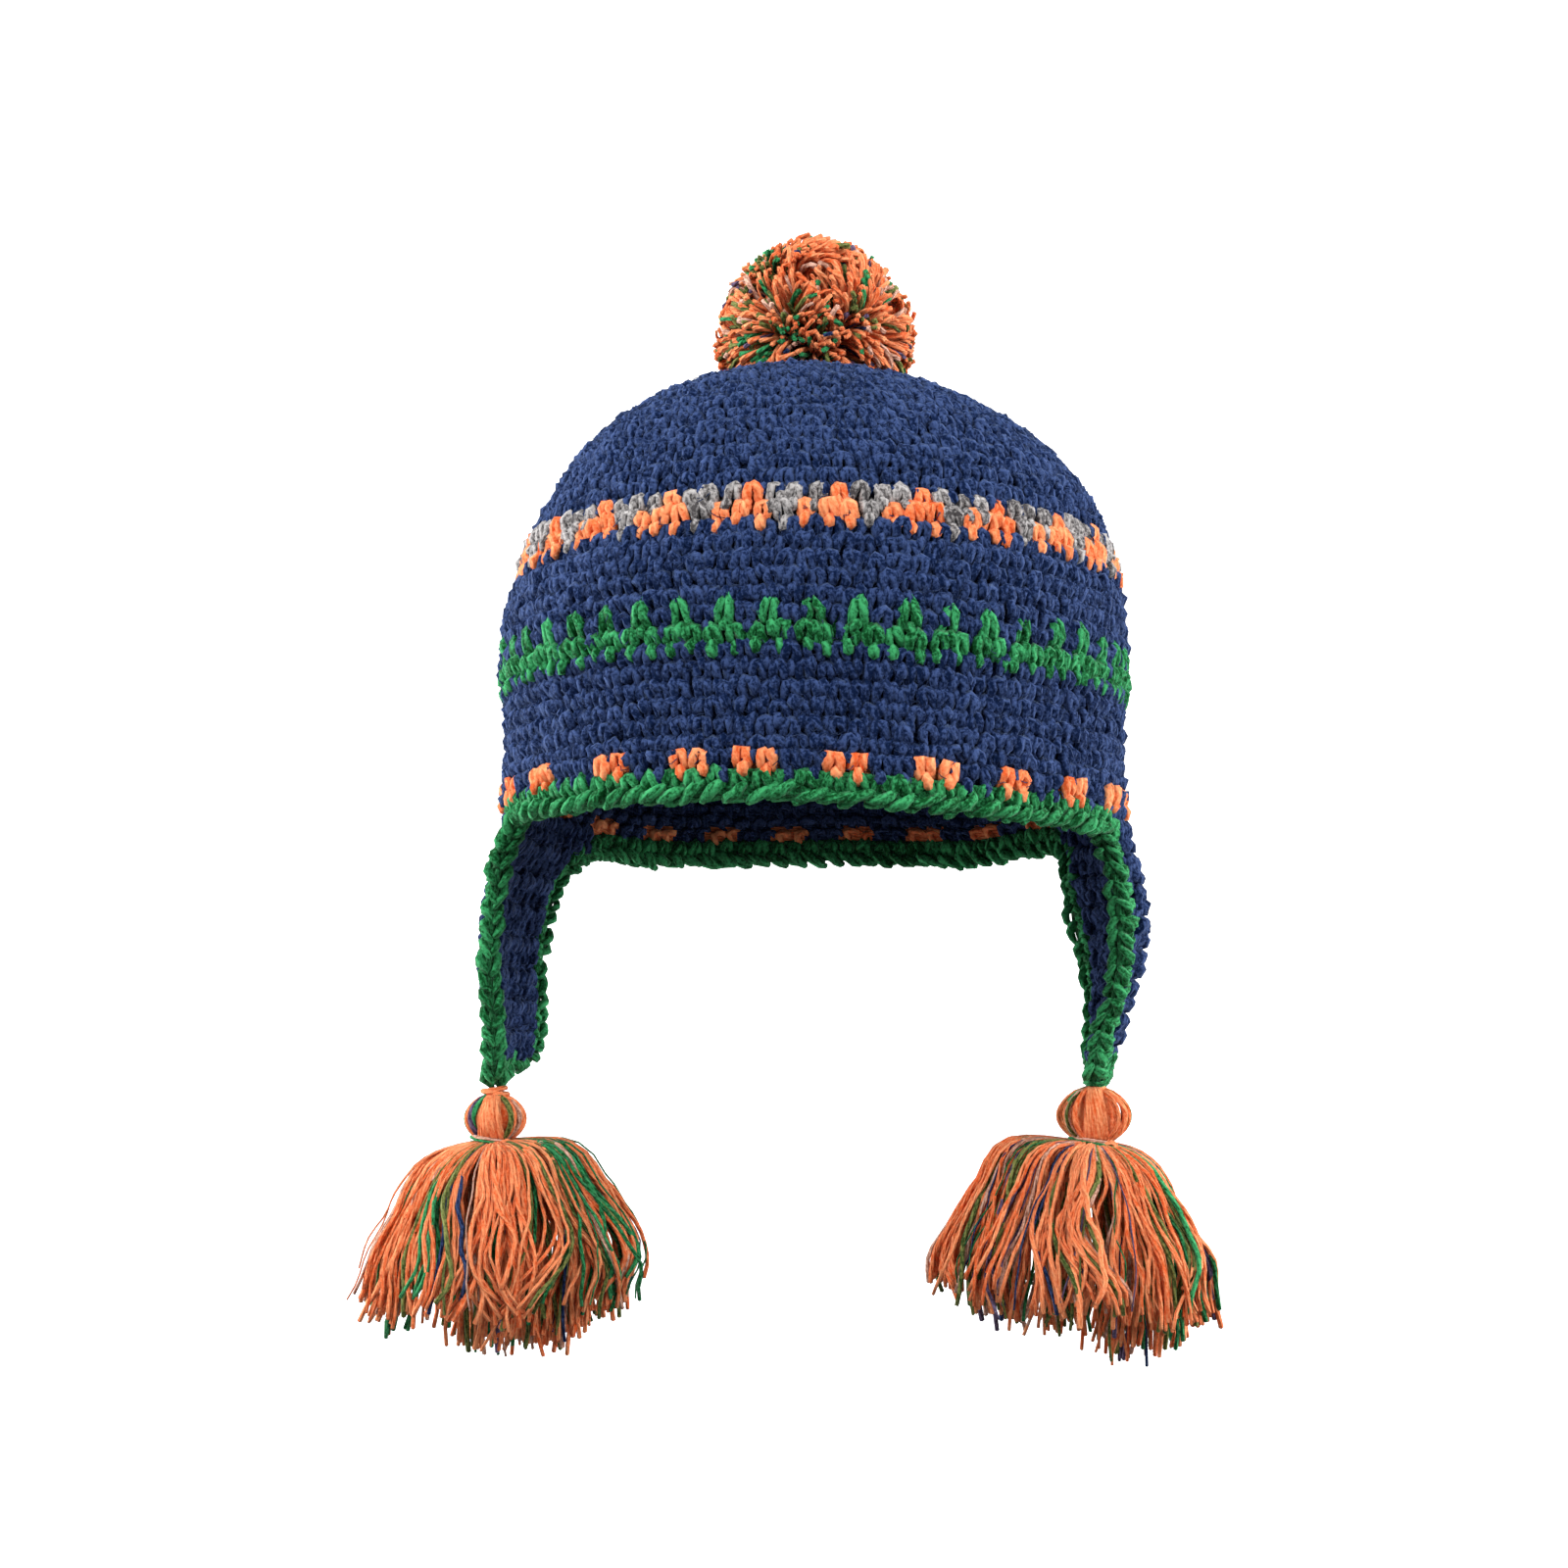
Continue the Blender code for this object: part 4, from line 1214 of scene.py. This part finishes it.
def buildTassel(name, side, word):
    heap = Heap(name)
    _, _, neck = tasselPlaces(side)
    rings, sides = tassel["rings"], tassel["sides"]
    # Locks: strands that start together, wave together and come apart towards their ends
    locks, each, outer = tassel["locks"], tassel["lockStrands"], tassel["outerLocks"]
    turns = np.concatenate((
        (np.arange(outer) + rng.uniform(-0.36, 0.36, outer)) / outer, rng.random(locks - outer)
    )) * 2 * math.pi
    shares = np.concatenate((rng.uniform(0.88, 1.0, outer), np.sqrt(rng.uniform(0.03, 0.66, locks - outer))))
    bend = wander(locks, rings, 3.4, (1, 2, 3)) / 22.0
    lockYarn = pickYarn(locks, mixture["lockShares"])
    turns, shares, bend, lockYarn = (np.repeat(values, each, axis=0) for values in (turns, shares, bend, lockYarn))
    count = locks * each
    turns = turns + scatter(count, 0.035)
    paths = skirtPaths(neck, turns, shares, tassel["lockSpread"], word, rings)
    middle = neck[None, None, :2]
    flat = paths[..., :2] - middle
    cos, sin = np.cos(bend), np.sin(bend)
    paths[..., :2] = middle + np.stack((flat[..., 0] * cos - flat[..., 1] * sin, flat[..., 0] * sin + flat[..., 1] * cos), -1)
    yarn = np.where(rng.random(count) < tassel["ownYarn"], pickYarn(count), lockYarn)
    radii = tassel["strandRadius"] * (1 + rng.normal(0, 0.14, (count, 1))) * np.ones((1, rings))
    heap.addYarn(sweep(paths, radii, sides), lengthOf(paths), sides, yarn, rng.random(count))
    # Thin strays stand off the bunch
    strays = tassel["strays"]
    turns = rng.random(strays) * 2 * math.pi
    paths = skirtPaths(neck, turns, rng.uniform(0.98, 1.07, strays), 1.0, word, rings)
    yarn = pickYarn(strays, (0.3, 0.2, 0.1, 0.2, 0.15, 0.05))
    heap.addYarn(sweep(paths, np.full((strays, rings), 0.26), 4), lengthOf(paths), 4, yarn, rng.random(strays))
    # The head: a tight bundle in front and slack loops of thin strands beside it, folded over the tie
    share = np.linspace(0.0, 1.0, 13)
    height = tassel["headTop"][word] * (1.0 - share)[None]
    bulge = np.sin(share * math.pi)[None] ** tassel["headRound"]
    bundle = tassel["bundleStrands"]
    across = np.linspace(-1.0, 1.0, bundle)[:, None]
    x = across * (0.8 + (tassel["bundleWidth"] - 0.8) * (0.35 + 0.65 * share[None]) ** 1.1 * np.minimum(1, bulge + 0.5))
    x = x + rng.normal(0, 0.12, (bundle, 1))
    y = -(3.0 + 4.9 * bulge) * np.sqrt(1 - 0.35 * across**2)
    front = np.stack((neck[0] + x, neck[1] + y, neck[2] + np.broadcast_to(height, x.shape)), axis=-1)
    yarn = np.full(bundle, yarnIndex["orange"])
    radii = np.full((bundle, 13), 0.72) * (1 + rng.normal(0, 0.05, (bundle, 1)))
    heap.addYarn(sweep(front, radii, 6), lengthOf(front), 6, yarn, rng.random(bundle))
    loops = tassel["sideStrands"]
    turns = np.radians(np.linspace(42.0, 318.0, loops) + scatter(loops, 5.0))[:, None]
    wide = tassel["headWidth"][word] * (1 + scatter(loops, 0.05))[:, None]
    reach = 1.8 + (wide - 2.4) * bulge + rng.normal(0, 0.15, (loops, 1))
    paths = aroundAxis(neck, turns + scatter(loops, 0.16)[:, None] * (share[None] - 0.5), reach, height * np.ones((loops, 1)))
    radii = np.where(rng.random((loops, 1)) < 0.4, 0.80, 0.50) * np.ones((1, 13))
    yarn = pickYarn(loops, (0.52, 0.10, 0.12, 0.08, 0.04, 0.14))
    heap.addYarn(sweep(paths, radii, 6), lengthOf(paths), 6, yarn, rng.random(loops))
    # The bulb's filling
    count = 8
    turns = (np.arange(count) / count * 2 * math.pi)[:, None]
    paths = aroundAxis(neck, turns, 0.9 + 2.9 * bulge * np.ones((count, 1)), height * np.ones((count, 1)))
    radii = (0.9 + 1.9 * bulge) * np.ones((count, 1))
    heap.addYarn(sweep(paths, radii, 8), lengthOf(paths), 8, np.full(count, yarnIndex["orange"]), rng.random(count))
    return heap


def addTurn(heap, centre, radius, yarnRadius, height, slope, yarn, rings=24):
    # One closed turn of yarn, aslant and a little uneven
    turns = np.linspace(0, 2 * math.pi, rings)[None]
    reach = radius * (1 + 0.05 * np.sin(turns * 2 + height * 3))
    paths = aroundAxis(centre, turns, reach, height + slope * radius * np.sin(turns))
    radii = np.full((1, rings), yarnRadius)
    heap.addYarn(sweep(paths, radii, 6), lengthOf(paths), 6, np.array([yarnIndex[yarn]]), rng.random(1))


def buildTie(name, side):
    # Slack turns of yarn through the earflap's tip and over the folded strands
    heap = Heap(name)
    tie, _, _ = tasselPlaces(side)
    for radius, thick, height, slope, yarn in (
        (3.0, 0.70, 2.1, 0.16, "orange"), (3.4, 0.75, 1.2, -0.14, "orange"), (3.1, 0.60, 0.4, 0.08, "green"),
        (3.4, 0.70, -0.3, 0.14, "orange"), (3.6, 0.60, -1.1, -0.08, "rose"), (1.7, 1.40, 0.3, 0.0, "orange"),
    ):
        addTurn(heap, tie, radius, thick, height, slope, yarn)
    return heap


def buildBinding(name, side):
    # A thin strand wound round the neck aslant, with its loop knot at the viewer's right
    heap = Heap(name)
    _, _, neck = tasselPlaces(side)
    for radius, thick, height, slope, yarn in (
        (6.6, 0.55, -0.1, -0.20, "green"), (6.2, 0.50, 0.7, -0.16, "rose"), (5.2, 0.60, -0.5, -0.10, "green"),
    ):
        addTurn(heap, neck, radius, thick, height, slope, yarn)
    knot = aroundAxis(neck, np.array([0.62]), np.array([7.0]), np.array([-0.9]))[0]
    turns = np.linspace(0, 3.6 * math.pi, 22)[None]
    size = np.linspace(1.9, 1.2, 22)[None]
    paths = knot + np.stack((size * np.sin(turns), -0.05 * turns, 0.72 * size * np.cos(turns)), axis=-1)
    radii = np.full((1, 22), 0.60)
    heap.addYarn(sweep(paths, radii, 6), lengthOf(paths), 6, np.array([yarnIndex["orange"]]), rng.random(1))
    return heap


for word, side in (("Left", 1.0), ("Right", -1.0)):
    low = word.lower()
    place(buildTassel("tassel" + word + "Strands", side, word), "mixed_wool", "tassel_" + low)
    place(buildTie("tassel" + word + "TieYarn", side), "mixed_wool", "tassel_tie_" + low)
    place(buildBinding("tassel" + word + "BindingYarn", side), "mixed_wool", "tassel_binding_" + low)
print("tassels tied")


# Studio: a pale seamless sweep, soft lights and the photo's camera

studio = dict(
    floor=-330.0,
    floorColour=(0.93, 0.93, 0.93),
    worldStrength=0.30,
    cameraAzimuth=3.5,
    cameraDistance=700.0,
    cameraHeight=-61.0,
    aimAcross=-8.8,
    aimHeight=15.5,
    lens=55.6,
    # place in metres, size in metres, watts
    lights=(
        ((-0.9, -1.3, 0.9), 0.9, 26.0),
        ((1.1, -1.2, 0.5), 0.9, 17.0),
        ((0.0, -0.2, 1.5), 1.2, 14.0),
        ((-1.4, 0.3, 0.2), 0.9, 36.0),
        ((1.4, 0.3, 0.2), 0.9, 31.0),
    ),
)


def buildStudio():
    scene = bpy.context.scene
    mesh = bpy.data.meshes.new("sweep")
    line = [(-2.6, 0.0), (1.4, 0.0)]
    line += [(1.4 + 0.8 * math.sin(t), 0.8 - 0.8 * math.cos(t)) for t in np.linspace(0.0, math.pi / 2, 12)[1:]]
    line += [(2.2, 3.2)]
    points = [(x, y, z + studio["floor"] * mm) for y, z in line for x in (-4.0, 4.0)]
    faces = [(2 * i, 2 * i + 1, 2 * i + 3, 2 * i + 2) for i in range(len(line) - 1)]
    mesh.from_pydata(points, [], faces)
    mesh.shade_smooth()
    paper = bpy.data.materials.new("palePaper")
    paper.use_nodes = True
    shader = paper.node_tree.nodes["Principled BSDF"]
    start = Wire(shader.outputs[0])
    place = start.node("ShaderNodeTexCoord", {}, {}, output=3)
    grain = start.node("ShaderNodeTexNoise", {}, {"Vector": place, "Scale": 30.0, "Detail": 2.0})
    colour = studio["floorColour"]
    grain.blend([c * 0.99 for c in colour], colour).feed(shader, "Base Color")
    shader.inputs["Roughness"].default_value = 0.9
    shader.inputs["Emission Color"].default_value = (1.0, 1.0, 1.0, 1.0)
    shader.inputs["Emission Strength"].default_value = 0.9
    mesh.materials.append(paper)
    sweepPiece = bpy.data.objects.new("sweep", mesh)
    sweepPiece.visible_diffuse = False
    scene.collection.objects.link(sweepPiece)
    world = bpy.data.worlds.new("studio")
    scene.world = world
    world.use_nodes = True
    background = world.node_tree.nodes["Background"]
    background.inputs["Color"].default_value = (1.0, 1.0, 1.0, 1.0)
    background.inputs["Strength"].default_value = studio["worldStrength"]
    for i, (spot, size, watts) in enumerate(studio["lights"]):
        data = bpy.data.lights.new(f"softbox{i}", "AREA")
        data.shape = "DISK"
        data.size = size
        data.energy = watts
        light = bpy.data.objects.new(f"softbox{i}", data)
        light.location = spot
        light.rotation_euler = (Vector((0.0, 0.0, 0.03)) - Vector(spot)).to_track_quat("-Z", "Y").to_euler()
        scene.collection.objects.link(light)
    turn = math.radians(studio["cameraAzimuth"])
    right = Vector((math.cos(turn), math.sin(turn), 0.0))
    back = Vector((math.sin(turn), -math.cos(turn), 0.0))
    spot = back * studio["cameraDistance"] * mm + Vector((0.0, 0.0, studio["cameraHeight"] * mm))
    aim = right * studio["aimAcross"] * mm + Vector((0.0, 0.0, studio["aimHeight"] * mm))
    data = bpy.data.cameras.new("camera")
    data.lens = studio["lens"]
    data.sensor_width = 36.0
    data.clip_start = 0.01
    camera = bpy.data.objects.new("camera", data)
    camera.location = spot
    camera.rotation_euler = (aim - spot).to_track_quat("-Z", "Y").to_euler()
    scene.collection.objects.link(camera)
    scene.camera = camera
    scene.view_settings.view_transform = "Standard"


buildStudio()
print("studio ready")
